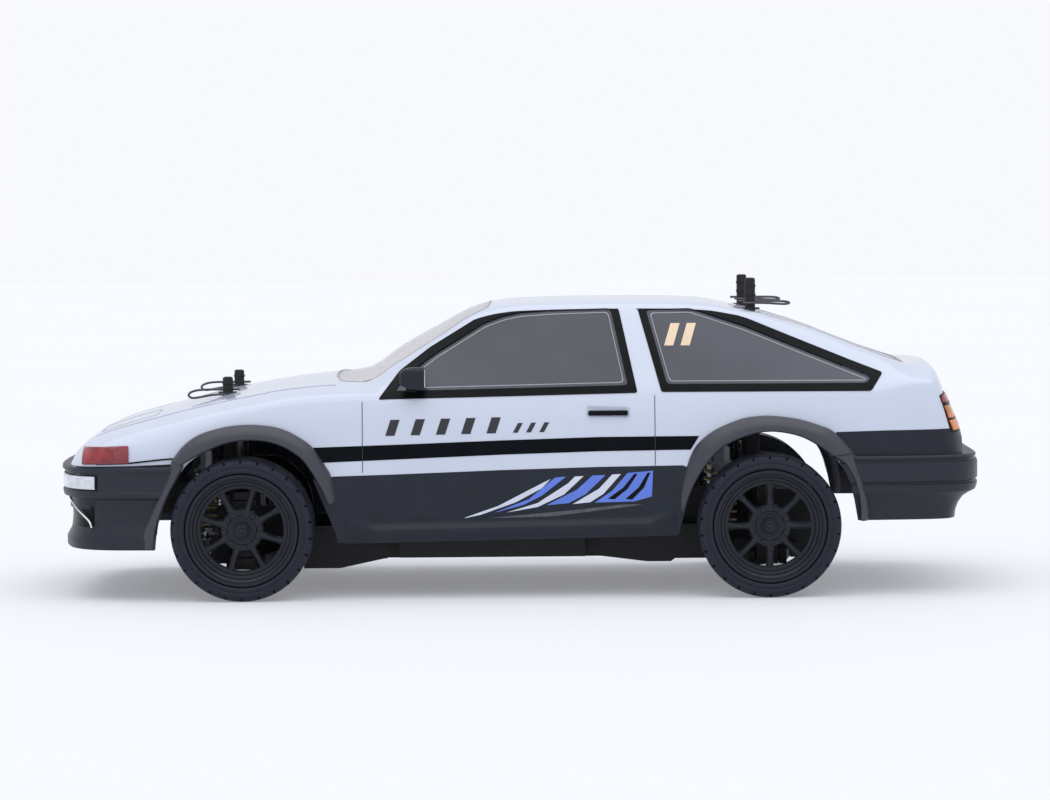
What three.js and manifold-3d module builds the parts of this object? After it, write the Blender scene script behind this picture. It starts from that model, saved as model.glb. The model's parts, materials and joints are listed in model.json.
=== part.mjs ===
// Radio-controlled drift car, 1:10, millimetres.
// +X is the front, +Y the left, +Z up; the origin is on the ground under the middle of the length.
// X in this file is measured from a datum that lies DATUM_X ahead of that origin.
import * as THREE from "three";
import { mergeVertices } from "three/addons/utils/BufferGeometryUtils.js";
import Module from "manifold-3d";

const wasm = await Module();
wasm.setup();

// ---- driving dimensions ----
const DATUM_X = 3;
const FRONT_AXLE_X = 122.5;
const REAR_AXLE_X = -117.5;
const AXLE_Z = 32.5;
const TYRE_R = 32.5;
const TYRE_WIDTH = 26;
const WHEEL_OUT_Y = 86;
const WHEEL_IN_Y = WHEEL_OUT_Y - TYRE_WIDTH;
const RIM_R = 25.7;
const GAP = 0.3;
const SHELL_WALL = 1.4;
const ARM_HINGE_Y = 20;
const ARM_HINGE_Z = 16;
const ARM_PIN_Y = 57;
const KINGPIN_Y = 66;
const PIN_R = 1.5;
const PIN_HOLE_R = 1.62;
const AXLE_R = 2.5;
const AXLE_HOLE_R = 2.64;
const LINK_Z = 52;
const FRONT_DAMPER_X = 142;
const REAR_DAMPER_X = -99;
const DAMPER_TOP = [34, 70];
const DAMPER_FOOT = [44, 22];
const RACK_X = 104.5;
const RACK_Z = 40.5;
const POST_Y = 35;
const POST_R = 2.4;
const FRONT_POST_X = 131.7;
const REAR_POST_X = -111.7;
const FRONT_POST_TOP = 100.2;
const REAR_POST_TOP = 144.3;
const FRONT_CLIP_Z = 94.3;
const REAR_CLIP_Z = 133.4;
const SPUR_TEETH = 30;
const PINION_TEETH = 10;
const GEAR_MODULE = 0.96;
const SPUR_X = -90.5;
const SPUR_Z = 33;
const MOTOR_X = -71.2;
const MOTOR_Z = 35;

// ---- solids ----
function manifoldFrom(positions, triangles) {
  const mesh = { numProp: 3, vertProperties: positions, triVerts: triangles };
  const made = new wasm.Manifold(new wasm.Mesh(mesh));
  if (made.volume() >= 0) return made;
  for (let i = 0; i < triangles.length; i += 3) {
    [triangles[i + 1], triangles[i + 2]] = [triangles[i + 2], triangles[i + 1]];
  }
  return new wasm.Manifold(new wasm.Mesh(mesh));
}

function solid(geometry) {
  geometry.deleteAttribute("normal");
  geometry.deleteAttribute("uv");
  const merged = mergeVertices(geometry, 1e-4);
  const positions = new Float32Array(merged.attributes.position.array);
  return manifoldFrom(positions, new Uint32Array(merged.index.array));
}

function box(x0, x1, y0, y1, z0, z1) {
  const g = new THREE.BoxGeometry(x1 - x0, y1 - y0, z1 - z0);
  g.translate((x0 + x1) / 2, (y0 + y1) / 2, (z0 + z1) / 2);
  return solid(g);
}

// A round bar from a to b, tapered when r2 is given.
function rod(a, b, r, sides, r2 = r) {
  const from = new THREE.Vector3(...a);
  const to = new THREE.Vector3(...b);
  const g = new THREE.CylinderGeometry(r2, r, from.distanceTo(to), sides, 1);
  const along = to.clone().sub(from).normalize();
  g.applyQuaternion(new THREE.Quaternion().setFromUnitVectors(new THREE.Vector3(0, 1, 0), along));
  const middle = from.clone().add(to).multiplyScalar(0.5);
  g.translate(middle.x, middle.y, middle.z);
  return solid(g);
}

// A plate with an outline in X and Z, from y0 to y1.
function sidePlate(outline, y0, y1) {
  const shape = new THREE.Shape(outline.map(([x, z]) => new THREE.Vector2(x, z)));
  const g = new THREE.ExtrudeGeometry(shape, { depth: y1 - y0, bevelEnabled: false });
  g.rotateX(Math.PI / 2);
  g.translate(0, y1, 0);
  return solid(g);
}

// A plate with an outline in X and Y, from z0 to z1.
function floorPlate(outline, z0, z1) {
  const shape = new THREE.Shape(outline.map(([x, y]) => new THREE.Vector2(x, y)));
  const g = new THREE.ExtrudeGeometry(shape, { depth: z1 - z0, bevelEnabled: false });
  g.translate(0, 0, z0);
  return solid(g);
}

// A solid of revolution about the wheel axis; the profile is a closed loop of [radius, y].
function turned(profile, x, z, sides) {
  const loop = profile.map(([r, y]) => new THREE.Vector2(r, y));
  loop.push(loop[0].clone());
  const g = new THREE.LatheGeometry(loop, sides);
  g.translate(x, 0, z);
  return solid(g);
}

// Rings of the same number of points joined into a skin, with flat caps at both ends.
function skin(rings, capPoints) {
  const count = rings[0].length;
  const positions = rings.flat(2);
  const triangles = [];
  for (let i = 0; i + 1 < rings.length; i += 1) {
    for (let j = 0; j < count; j += 1) {
      const a = i * count + j;
      const b = i * count + ((j + 1) % count);
      triangles.push(a, b, b + count, a, b + count, a + count);
    }
  }
  const ends = [0, rings.length - 1];
  for (const end of ends) {
    const flat = rings[end].map((p) => capPoints(p, end));
    const faces = THREE.ShapeUtils.triangulateShape(flat, []);
    for (const [a, b, c] of faces) {
      const turn = (flat[b].x - flat[a].x) * (flat[c].y - flat[a].y)
        - (flat[b].y - flat[a].y) * (flat[c].x - flat[a].x);
      const ringTurn = THREE.ShapeUtils.area(flat);
      const same = turn * ringTurn > 0;
      const face = same === (end === 0) ? [a, c, b] : [a, b, c];
      triangles.push(...face.map((k) => end * count + k));
    }
  }
  return manifoldFrom(new Float32Array(positions), new Uint32Array(triangles));
}

function union(list) {
  return list.reduce((sum, item) => sum.add(item));
}

function mirrored(made) {
  return made.mirror([0, 1, 0]);
}

// Linear interpolation in a table of [x, value] rows with falling x.
function at(table, x) {
  if (x >= table[0][0]) return table[0][1];
  for (let i = 0; i + 1 < table.length; i += 1) {
    const [x0, v0] = table[i];
    const [x1, v1] = table[i + 1];
    if (x >= x1) return v0 + ((v1 - v0) * (x0 - x)) / (x0 - x1);
  }
  return table[table.length - 1][1];
}

// The same polyline with n points at even spacing.
function resample(path, n) {
  const reach = [0];
  for (let i = 1; i < path.length; i += 1) {
    const step = Math.hypot(path[i][0] - path[i - 1][0], path[i][1] - path[i - 1][1]);
    reach.push(reach[i - 1] + step);
  }
  const total = reach[reach.length - 1];
  const points = [];
  for (let k = 0; k < n; k += 1) {
    const want = (total * k) / (n - 1);
    let i = 1;
    while (i < path.length - 1 && reach[i] < want) i += 1;
    const t = (want - reach[i - 1]) / (reach[i] - reach[i - 1]);
    points.push([
      path[i - 1][0] + (path[i][0] - path[i - 1][0]) * t,
      path[i - 1][1] + (path[i][1] - path[i - 1][1]) * t,
    ]);
  }
  return points;
}

// ---- the car's group and its materials ----
const car = new THREE.Group();
const FINISH = {
  white: { color: 0xe6e9ee, roughness: 0.25, metalness: 0 },
  trim: { color: 0x4b4d55, roughness: 0.55, metalness: 0 },
  bumper: { color: 0x33363e, roughness: 0.5, metalness: 0 },
  nylon: { color: 0x1b1c1f, roughness: 0.6, metalness: 0 },
  rim: { color: 0x23262c, roughness: 0.4, metalness: 0 },
  tyre: { color: 0x1d1f24, roughness: 0.85, metalness: 0 },
  steel: { color: 0xb8bbc0, roughness: 0.3, metalness: 1 },
  alloy: { color: 0x8d9199, roughness: 0.35, metalness: 1 },
  blue: { color: 0x27467f, roughness: 0.5, metalness: 0 },
  foam: { color: 0x2a2b2d, roughness: 0.95, metalness: 0 },
};

function node(name, made, finish) {
  const out = made.getMesh();
  const g = new THREE.BufferGeometry();
  const coordinates = new Float32Array(out.numVert * 3);
  for (let i = 0; i < out.numVert; i += 1) {
    for (let k = 0; k < 3; k += 1) {
      coordinates[i * 3 + k] = out.vertProperties[i * out.numProp + k];
    }
  }
  g.setAttribute("position", new THREE.BufferAttribute(coordinates, 3));
  g.setIndex(new THREE.BufferAttribute(new Uint32Array(out.triVerts), 1));
  g.computeVertexNormals();
  const mesh = new THREE.Mesh(g, new THREE.MeshStandardMaterial(FINISH[finish]));
  mesh.name = name;
  mesh.position.x = DATUM_X;
  car.add(mesh);
}

// ---- the body's form: tables of [x, value] from the nose to the tail ----
const TOP_Z = [
  [203.4, 63.2], [200.4, 68.4], [197, 72], [190.5, 76.4], [181, 80], [162, 85.3], [152.4, 88.1],
  [121, 95], [100, 98.3], [83, 100.3], [66.8, 103], [52.5, 112.6], [33.4, 123.2], [15.8, 131.8],
  [5, 133.8], [-4.6, 134.5], [-42, 135.1], [-71, 134.9], [-90, 134], [-103.3, 131.5],
  [-117, 128.4], [-137.4, 122.2], [-161, 113], [-175.3, 107.6], [-186, 104.8], [-194, 104.8],
  [-197, 102.7], [-199.3, 96.5], [-201.5, 90.5], [-207.2, 74.6],
];
const EDGE_Z = [
  [203.4, 62.4], [200.4, 67], [197, 70.4], [190.5, 74.6], [181, 78.3], [162, 83.6], [152.4, 86],
  [121, 92.6], [100, 96.2], [83, 97.6], [66.8, 98], [52.5, 106.4], [33.4, 119], [15.8, 129.6],
  [5, 132.4], [-4.6, 133.5], [-42, 134.2], [-71, 134], [-90, 133], [-103.3, 130.6],
  [-117, 127.6], [-137.4, 121.4], [-161, 112.2], [-175.3, 106.9], [-186, 103.8], [-193, 103.4],
  [-195.6, 100.4], [-198.2, 94.5], [-200.6, 88.5], [-207.2, 73.6],
];
const EDGE_Y = [
  [203.4, 44], [200.4, 53], [190.5, 60], [121, 62], [83, 62], [66.8, 61], [52.5, 59], [15.8, 55],
  [-42, 54], [-90, 54], [-137.4, 57], [-175.3, 61], [-193, 60], [-199.3, 58], [-207.2, 53],
];
const BELT_Z = [
  [203.4, 61.4], [200.4, 63.6], [190.5, 70.3], [173, 76], [155, 80.3], [141, 83.8], [123, 87.4],
  [105, 90.8], [86, 92.8], [66.8, 93.4], [52.5, 91.6], [-60, 92.4], [-165, 94], [-184, 97.5],
  [-193, 97], [-197, 91], [-201.5, 82], [-207.2, 71],
];
const BELT_Y = [
  [203.4, 52], [200.4, 62], [197, 67.4], [190.5, 72.4], [175, 74.5], [121, 75.6], [60, 76],
  [-120, 76], [-170, 75.6], [-184, 74.4], [-193, 72.4], [-199.3, 69.4], [-204, 65.6], [-207.2, 60],
];
const SIDE_Y = [
  [203.4, 57], [200.4, 67], [197, 72.4], [190.5, 77], [175, 79], [121, 80], [60, 80],
  [-120, 80], [-165, 79.2], [-184, 78], [-193, 76.6], [-199.3, 73.6], [-204, 69], [-207.2, 63],
];
const SKIRT_Z = [
  [203.4, 42], [166, 42], [160, 25], [85, 25], [78, 26], [-76.5, 28.5], [-82, 30], [-150, 46],
  [-207.2, 46],
];
const CLOSE_STATIONS = 4.6;
const STATIONS = [];
for (const [x] of [...TOP_Z, ...SIDE_Y, ...SKIRT_Z].sort((a, b) => b[0] - a[0])) {
  const last = STATIONS[STATIONS.length - 1];
  if (last === undefined || last - x > CLOSE_STATIONS) STATIONS.push(x);
}

// One ring of the body at x, drawn in by inset; bottom replaces the skirt's edge when it is given.
function bodyRing(x, inset, bottom) {
  const sideY = at(SIDE_Y, x) - inset;
  const beltY = at(BELT_Y, x) - inset;
  const edgeY = at(EDGE_Y, x) - inset * 0.8;
  const beltZ = at(BELT_Z, x) - inset * 0.3;
  const edgeZ = at(EDGE_Z, x) - inset;
  const topZ = at(TOP_Z, x) - inset;
  const skirtZ = bottom ?? at(SKIRT_Z, x);
  const half = [
    [sideY - 3, skirtZ],
    [sideY - 0.6, Math.max(skirtZ + 2, 49)],
    [sideY, Math.max(skirtZ + 4, 57)],
    [sideY - 1, beltZ - (beltZ - 57) * 0.35],
    [beltY, beltZ],
    [beltY + (edgeY - beltY) * 0.45, beltZ + (edgeZ - beltZ) * 0.52],
    [edgeY, edgeZ],
  ];
  const left = half.map(([y, z]) => [x, y, z]);
  const right = half.map(([y, z]) => [x, -y, z]).reverse();
  return [...left, [x, 0, topZ], ...right];
}

const acrossX = (p) => new THREE.Vector2(p[1], p[2]);

function bodySolid(inset, bottom) {
  const nose = STATIONS[0] - inset;
  const tail = STATIONS[STATIONS.length - 1] + inset;
  const middle = STATIONS.filter((x) => x < nose - 0.5 && x > tail + 0.5);
  const rings = [nose, ...middle, tail].map((x) => {
    const ring = bodyRing(x + Math.sign(x) * inset * 0.4, inset, bottom);
    return ring.map((p) => [x, p[1], p[2]]);
  });
  return skin(rings, acrossX);
}

const FRONT_ARCH = [
  [162.7, 24], [161.3, 34.4], [159.9, 38], [157.6, 44.8], [154.3, 51.5], [151.6, 56],
  [148.4, 61.8], [142.3, 66.6], [131.8, 71.5], [122.7, 73.5], [113.6, 73.4], [104.6, 71.3],
  [95.6, 65.8], [91.1, 59.8], [86.6, 51.6], [82.2, 41.6], [79.6, 28.9],
];
const REAR_ARCH = [
  [-76.3, 28.7], [-78.2, 35.9], [-81, 46.3], [-85.6, 56.2], [-90.2, 63], [-94.8, 67.9],
  [-101.6, 71.5], [-108.4, 74.1], [-115, 75.5], [-122, 75.4], [-131.1, 73.5], [-138, 70],
  [-144.6, 65.3], [-149.2, 61.4], [-152.8, 55.5], [-154.6, 50.9], [-156.3, 44.1], [-158.1, 34.1],
];
const ARCH_FLOOR_Z = 5;

function archCutter(path) {
  const first = [path[0][0], ARCH_FLOOR_Z];
  const last = [path[path.length - 1][0], ARCH_FLOOR_Z];
  const outline = [first, ...path, last];
  return sidePlate(outline, 46, 100).add(sidePlate(outline, -100, -46));
}

const ARCHES = archCutter(FRONT_ARCH).add(archCutter(REAR_ARCH));
const GROWN_BODY = bodySolid(-GAP, undefined).add(box(-196, 190, -70, 70, 15, 60));

function buildShell() {
  const outer = bodySolid(0, undefined);
  const inner = bodySolid(SHELL_WALL, 12);
  const holes = [];
  for (const y of [-POST_Y, POST_Y]) {
    holes.push(rod([FRONT_POST_X, y, 70], [FRONT_POST_X, y, 110], POST_R + GAP, 12));
    holes.push(rod([REAR_POST_X, y, 110], [REAR_POST_X, y, 150], POST_R + GAP, 12));
  }
  node("body_shell", outer.subtract(inner).subtract(ARCHES).subtract(union(holes)), "white");
}

// ---- bumpers: a profile of [outward, z] carried round a plan path ----
const NOSE_PATH = [
  [204.2, 0], [203.6, 34], [201, 54], [197, 66], [191, 73.6], [183, 77.6], [170, 79], [150, 80],
];
const TAIL_PATH = [
  [-210, 0], [-209.8, 46], [-208.6, 60], [-205.2, 69.4], [-198, 75.2], [-184, 77.8], [-165, 79.2],
  [-145, 80],
];
const NOSE_PROFILE = [
  [-4, 61], [3, 61], [6, 60.5], [6.2, 58.6], [4.6, 57.4], [4.6, 50.8], [6, 49.6], [5.6, 47.4],
  [1.6, 46], [0.6, 38.5], [0.6, 34.5], [3.4, 27], [3.4, 23.8], [-3, 23.8],
];
const TAIL_PROFILE = [
  [-4, 63.6], [5, 63.6], [5.4, 62], [4.4, 61.4], [6, 60], [6, 52.2], [4.6, 51.2], [6, 49.8],
  [5.2, 47.4], [2, 45.6], [-1, 43.6], [-4, 39], [-5, 34.4], [-8, 34.4], [-6, 44],
];

// The bumpers stand out less along the body's sides than across its ends.
const SIDE_SLIMMING = 0.45;

function bumperRings(path, profile) {
  const whole = [...path.slice(1).reverse().map(([x, y]) => [x, -y]), ...path];
  const out = Math.sign(path[0][0]);
  return whole.map(([x, y], i) => {
    const before = whole[Math.max(i - 1, 0)];
    const after = whole[Math.min(i + 1, whole.length - 1)];
    const dx = after[0] - before[0];
    const dy = after[1] - before[1];
    const length = Math.hypot(dx, dy);
    const nx = (dy / length) * out;
    const ny = (-dx / length) * out;
    const slim = 1 - SIDE_SLIMMING * Math.abs(ny);
    return profile.map(([d, z]) => [x + nx * d * slim, y + ny * d * slim, z]);
  });
}

function bumper(path, profile) {
  return skin(bumperRings(path, profile), (p, end) => {
    const y = Math.abs(p[1]);
    return new THREE.Vector2(end === 0 ? -y : y, p[2]);
  });
}

function buildBumpers() {
  const intake = box(192, 215, -46, 46, 29.5, 44);
  const front = bumper(NOSE_PATH, NOSE_PROFILE).subtract(GROWN_BODY).subtract(ARCHES);
  node("front_bumper", front.subtract(intake), "bumper");
  const rear = bumper(TAIL_PATH, TAIL_PROFILE).subtract(GROWN_BODY).subtract(ARCHES);
  node("rear_bumper", rear, "bumper");
}

// ---- arch flares: a rounded lip between the arch and an outer line ----
const FRONT_FLARE_LIP = [
  [150, 62.2], [142.3, 66.6], [131.8, 71.5], [122.7, 73.5], [113.6, 73.4], [104.6, 71.3],
  [95.6, 65.8], [91.1, 59.8], [86.6, 51.6], [83, 43.5],
];
const FRONT_FLARE_RIM = [
  [154, 64.6], [149.7, 70.3], [145.1, 74.1], [140.6, 76.6], [131.5, 79.2], [122.4, 80.4],
  [113.4, 80.2], [104.3, 78.7], [95.3, 74.1], [89.5, 69.5], [85.9, 63.6], [81, 56.3], [79.5, 45],
];
const REAR_FLARE_LIP = [
  [-85, 55], [-90.2, 63], [-94.8, 67.9], [-101.6, 71.5], [-108.4, 74.1], [-115, 75.5],
  [-122, 75.4], [-131.1, 73.5], [-138, 70], [-144.6, 65.3], [-146, 64.2],
];
const REAR_FLARE_RIM = [
  [-78.5, 57], [-82.5, 66.7], [-85.7, 70.8], [-90.3, 74.6], [-94.8, 77.2], [-103.9, 80.9],
  [-108.4, 81.9], [-117.5, 82.7], [-131, 81], [-140.1, 78], [-146.4, 75.7], [-153.6, 68.4],
  [-156, 65.4],
];
const FLARE_STEPS = 14;

function flare(lipPath, rimPath) {
  const lip = resample(lipPath, FLARE_STEPS);
  const rim = resample(rimPath, FLARE_STEPS);
  const section = [[0, 74], [0, 84], [0.12, 85.4], [0.45, 85.2], [0.8, 83.4], [1, 80.4], [1, 74]];
  const rings = lip.map(([x, z], i) => section.map(([t, y]) => [
    x + (rim[i][0] - x) * t,
    y,
    z + (rim[i][1] - z) * t,
  ]));
  const flat = (p) => new THREE.Vector2(p[1], Math.hypot(p[0] - FRONT_AXLE_X, p[2] - AXLE_Z));
  const flatRear = (p) => new THREE.Vector2(p[1], Math.hypot(p[0] - REAR_AXLE_X, p[2] - AXLE_Z));
  return skin(rings, lipPath[0][0] > 0 ? flat : flatRear).subtract(GROWN_BODY);
}

function buildFlares() {
  const front = flare(FRONT_FLARE_LIP, FRONT_FLARE_RIM);
  const rear = flare(REAR_FLARE_LIP, REAR_FLARE_RIM);
  node("front_flare_left", front, "trim");
  node("front_flare_right", mirrored(front), "trim");
  node("rear_flare_left", rear, "trim");
  node("rear_flare_right", mirrored(rear), "trim");
}

// ---- posts and clips ----
function bodyPost(x, y, bottom, top, clipZ) {
  const hole = rod([x - 4, y, clipZ], [x + 4, y, clipZ], 0.9, 8);
  const tip = rod([x, y, top - 1.2], [x, y, top], POST_R, 12, POST_R * 0.6);
  return rod([x, y, bottom], [x, y, top - 1.2], POST_R, 12).add(tip).subtract(hole);
}

// A spring-wire clip: a straight leg through the post's hole and a waved leg beside the post.
function bodyClip(x, y, z, way) {
  const wire = 0.55;
  const path = [
    [-5.5, 0], [13, 0], [17, 1.6], [18.4, 4.2], [16.6, 6.6], [13.4, 6.2],
    [9, 4.6], [3.6, 3.6], [0, 4.2], [-3.6, 3.4],
  ];
  const rings = path.map(([u, v], i) => {
    const [u0, v0] = path[Math.max(i - 1, 0)];
    const [u1, v1] = path[Math.min(i + 1, path.length - 1)];
    const length = Math.hypot(u1 - u0, v1 - v0);
    const across = [(-(v1 - v0) / length) * wire, ((u1 - u0) / length) * wire];
    const corners = [[1, -0.7], [1, 0.7], [0, 1], [-1, 0.7], [-1, -0.7], [0, -1]];
    return corners.map(([n, up]) => [
      x + way * (u + across[0] * n),
      y + v + across[1] * n,
      z + wire * up,
    ]);
  });
  return skin(rings, (p) => new THREE.Vector2(p[1], p[2]));
}

const POSTS = [
  ["front_left", FRONT_POST_X, POST_Y, 58, FRONT_POST_TOP, FRONT_CLIP_Z, 1],
  ["front_right", FRONT_POST_X, -POST_Y, 58, FRONT_POST_TOP, FRONT_CLIP_Z, 1],
  ["rear_left", REAR_POST_X, POST_Y, 62, REAR_POST_TOP, REAR_CLIP_Z, -1],
  ["rear_right", REAR_POST_X, -POST_Y, 62, REAR_POST_TOP, REAR_CLIP_Z, -1],
];

function buildPosts() {
  for (const [corner, x, y, bottom, top, clipZ, way] of POSTS) {
    node(`body_post_${corner}`, bodyPost(x, y, bottom, top, clipZ), "nylon");
    node(`body_clip_${corner}`, bodyClip(x, y, clipZ, way), "steel");
  }
}

// ---- the chassis ----
// The tub's underside seen from the side: low under the front end, arched between the wheels.
const TUB_UNDERSIDE = [
  [97, 10.6], [80, 10.6], [53, 16.3], [-34, 16.3], [-63, 12.6], [-74, 12.6], [-76, 14], [-91, 14],
];
const TUB_RAIL_TOP = 30;

function buildTub() {
  const keel = box(-96, 98, -25, 25, 14, 17);
  const sidePlates = [24, -36].map((y) => (
    sidePlate([...TUB_UNDERSIDE, [-91, 17], [-34, 18.3], [53, 18.3], [97, 17]], y, y + 12)
  ));
  const rails = [35.8, -39].map((y) => (
    sidePlate([...TUB_UNDERSIDE, [-91, TUB_RAIL_TOP], [97, TUB_RAIL_TOP]], y, y + 3.2)
  ));
  const wings = [[38, 50], [-50, -38]].map(([y0, y1]) => box(-34, 52, y0, y1, 16.3, 19.3));
  const lips = [[47.5, 50], [-50, -47.5]].map(([y0, y1]) => box(-34, 52, y0, y1, 16.3, 25));
  const ribs = [[-53, -50], [53, 56]].map(([x0, x1]) => box(x0, x1, -38, 38, 16.5, 26));
  node("chassis_tub", union([keel, ...sidePlates, ...rails, ...wings, ...lips, ...ribs]), "nylon");
}

// A bulkhead with arm hinge blocks below and a damper tower with post sockets above.
function bulkhead(axleX, x0, x1, towerX, damperX, socketTop, towerTop) {
  const block = box(x0, x1, -15, 15, 12, 36);
  const pillar = box(axleX - 4, axleX + 4, -17, 17, 34, 55);
  const links = [17, -21].map((y) => (
    box(axleX - 2.5, axleX + 2.5, y, y + 4, LINK_Z - 2.5, LINK_Z + 2.5)
  ));
  const spine = box(Math.min(axleX, towerX), Math.max(axleX, towerX), -12, 12, 30, 50);
  const foot = box(towerX - 2, towerX + 2, -15, 15, 30, 52);
  const arms = box(towerX - 2, towerX + 2, -39, 39, 52, towerTop);
  const parts = [block, pillar, ...links, spine, foot, arms];
  const forward = Math.sign(damperX - towerX);
  for (const side of [-1, 1]) {
    const y = side * DAMPER_TOP[0];
    parts.push(rod([towerX, y, DAMPER_TOP[1]], [damperX + forward * 4, y, DAMPER_TOP[1]], PIN_R, 12));
    parts.push(rod([towerX, side * POST_Y, 56], [towerX, side * POST_Y, socketTop], 4.2, 12));
    parts.push(hingeBlocks(axleX, side));
  }
  const sockets = [-1, 1].map((side) => (
    rod([towerX, side * POST_Y, 54], [towerX, side * POST_Y, 120], POST_R + GAP, 12)
  ));
  return union(parts).subtract(union(sockets));
}

// Two blocks beside the bulkhead that carry the lower arm's hinge pin.
function hingeBlocks(axleX, side) {
  const y0 = side > 0 ? 14 : -23;
  const blocks = [-16.4, 13.4].map((dx) => box(axleX + dx, axleX + dx + 3, y0, y0 + 9, 12.5, 19.5));
  const pin = rod(
    [axleX - 15, side * ARM_HINGE_Y, ARM_HINGE_Z],
    [axleX + 15, side * ARM_HINGE_Y, ARM_HINGE_Z],
    PIN_R,
    12,
  );
  return union([...blocks, pin]);
}

function buildBulkheads() {
  const front = bulkhead(FRONT_AXLE_X, 98.4, 150, FRONT_POST_X, FRONT_DAMPER_X, 80, 74);
  const rackBed = box(98.4, 110, -14, 14, 35, RACK_Z - 1.3);
  node("front_bulkhead", front.add(rackBed), "nylon");
  const outdrives = rod([REAR_AXLE_X, -22, AXLE_Z], [REAR_AXLE_X, 22, AXLE_Z], 5.5, 16);
  const cases = box(-146, -104, -15, 15, 12, 44);
  const rear = bulkhead(REAR_AXLE_X, -146, -96.4, REAR_POST_X, REAR_DAMPER_X, 86, 76);
  const spurAxle = rod([SPUR_X, 14, SPUR_Z], [SPUR_X, 30.5, SPUR_Z], 2, 12);
  const bearing = box(SPUR_X - 6, SPUR_X + 0.2, 10, 21, 25, 41);
  const bearingFoot = box(-98, SPUR_X, 10, 15, 25, 36);
  node("rear_gearbox", union([rear, cases, outdrives, bearing, bearingFoot, spurAxle]), "nylon");
}

function buildElectrics() {
  const foam = floorPlate([
    [150.4, -22], [150.4, 22], [168, 30], [186, 52], [197, 46], [199.5, 0], [197, -46], [186, -52],
    [168, -30],
  ], 36, 50);
  node("foam_bumper", foam.add(box(150.4, 156, -10, 10, 28, 50)), "foam");
  const can = rod([MOTOR_X, -30, MOTOR_Z], [MOTOR_X, 18, MOTOR_Z], 17, 20);
  const nose = rod([MOTOR_X, 18, MOTOR_Z], [MOTOR_X, 21, MOTOR_Z], 6, 16);
  const shaft = rod([MOTOR_X, 21, MOTOR_Z], [MOTOR_X, 31, MOTOR_Z], 1.6, 12);
  node("motor", union([can, nose, shaft]), "alloy");
  node("battery_pack", box(-48, 48, -23, 23, 17.4, 42), "blue");
  const servo = box(60, 80, -20, 20, 17.4, 50).add(box(60, 80, -26, 26, 40, 42.5));
  node("steering_servo", servo, "nylon");
  const fins = [0, 1, 2, 3, 4].map((i) => box(-32 + i * 6, -29 + i * 6, -34.5, -25.5, 29, 36));
  node("speed_controller", union([box(-34, -2, -35, -25, 18.6, 30), ...fins]), "alloy");
}

// ---- gears ----
function gear(teeth, x, z, y0, y1, turn, boreR) {
  const pitch = (teeth * GEAR_MODULE) / 2;
  const tip = pitch + GEAR_MODULE * 0.75;
  const root = pitch - GEAR_MODULE;
  const outline = [];
  for (let i = 0; i < teeth; i += 1) {
    const steps = [[-0.3, root], [-0.13, tip], [0.13, tip], [0.3, root]];
    for (const [share, r] of steps) {
      const angle = turn + ((i + share) * 2 * Math.PI) / teeth;
      outline.push([x + r * Math.cos(angle), z + r * Math.sin(angle)]);
    }
  }
  return sidePlate(outline, y0, y1).subtract(rod([x, y0 - 1, z], [x, y1 + 1, z], boreR, 16));
}

function buildGears() {
  const toMotor = Math.atan2(MOTOR_Z - SPUR_Z, MOTOR_X - SPUR_X);
  const half = Math.PI / PINION_TEETH;
  const boss = rod([SPUR_X, 22, SPUR_Z], [SPUR_X, 24.1, SPUR_Z], 5, 16);
  const bore = rod([SPUR_X, 20, SPUR_Z], [SPUR_X, 30, SPUR_Z], 2.1, 16);
  const spur = gear(SPUR_TEETH, SPUR_X, SPUR_Z, 24, 28, toMotor, 2.1).add(boss.subtract(bore));
  node("spur_gear", spur, "nylon");
  const pinion = gear(PINION_TEETH, MOTOR_X, MOTOR_Z, 23.5, 29, toMotor + Math.PI + half, 1.75);
  node("motor_pinion", pinion, "steel");
}

// ---- one corner's suspension, built on the left and mirrored for the right ----
function lowerArm(axleX, damperX) {
  const plate = floorPlate([
    [axleX - 13, 17.2], [axleX + 13, 17.2], [axleX + 13, 26], [axleX + 9, 53.6], [axleX - 9, 53.6],
    [axleX - 13, 26],
  ], 13.6, 18.4);
  const window = floorPlate([
    [axleX - 7, 27], [axleX + 7, 27], [axleX + 4, 44], [axleX - 4, 44],
  ], 10, 24);
  const ears = [-9, 5.6].map((dx) => box(axleX + dx, axleX + dx + 3.4, 52, 60, 13.2, 18.8));
  const pin = rod([axleX - 8, ARM_PIN_Y, ARM_HINGE_Z], [axleX + 8, ARM_PIN_Y, ARM_HINGE_Z], PIN_R, 12);
  const way = Math.sign(damperX - axleX);
  const [footY, footZ] = DAMPER_FOOT;
  const near = axleX + way * 8;
  const far = damperX - way * 4;
  const bracket = box(Math.min(near, far), Math.max(near, far), 40, 47, 14, 24);
  const stud = rod([damperX - way * 5, footY, footZ], [damperX + way * 4, footY, footZ], PIN_R, 12);
  const tunnel = rod(
    [axleX - 20, ARM_HINGE_Y, ARM_HINGE_Z],
    [axleX + 20, ARM_HINGE_Y, ARM_HINGE_Z],
    PIN_HOLE_R,
    12,
  );
  return union([plate.subtract(window), ...ears, pin, bracket, stud]).subtract(tunnel);
}

function pinHole(axleX) {
  return rod([axleX - 20, ARM_PIN_Y, ARM_HINGE_Z], [axleX + 20, ARM_PIN_Y, ARM_HINGE_Z], PIN_HOLE_R, 12);
}

function linkStud(axleX, from) {
  return rod([axleX, ARM_PIN_Y, from], [axleX, ARM_PIN_Y, LINK_Z + 2.6], 1.2, 8);
}

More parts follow.
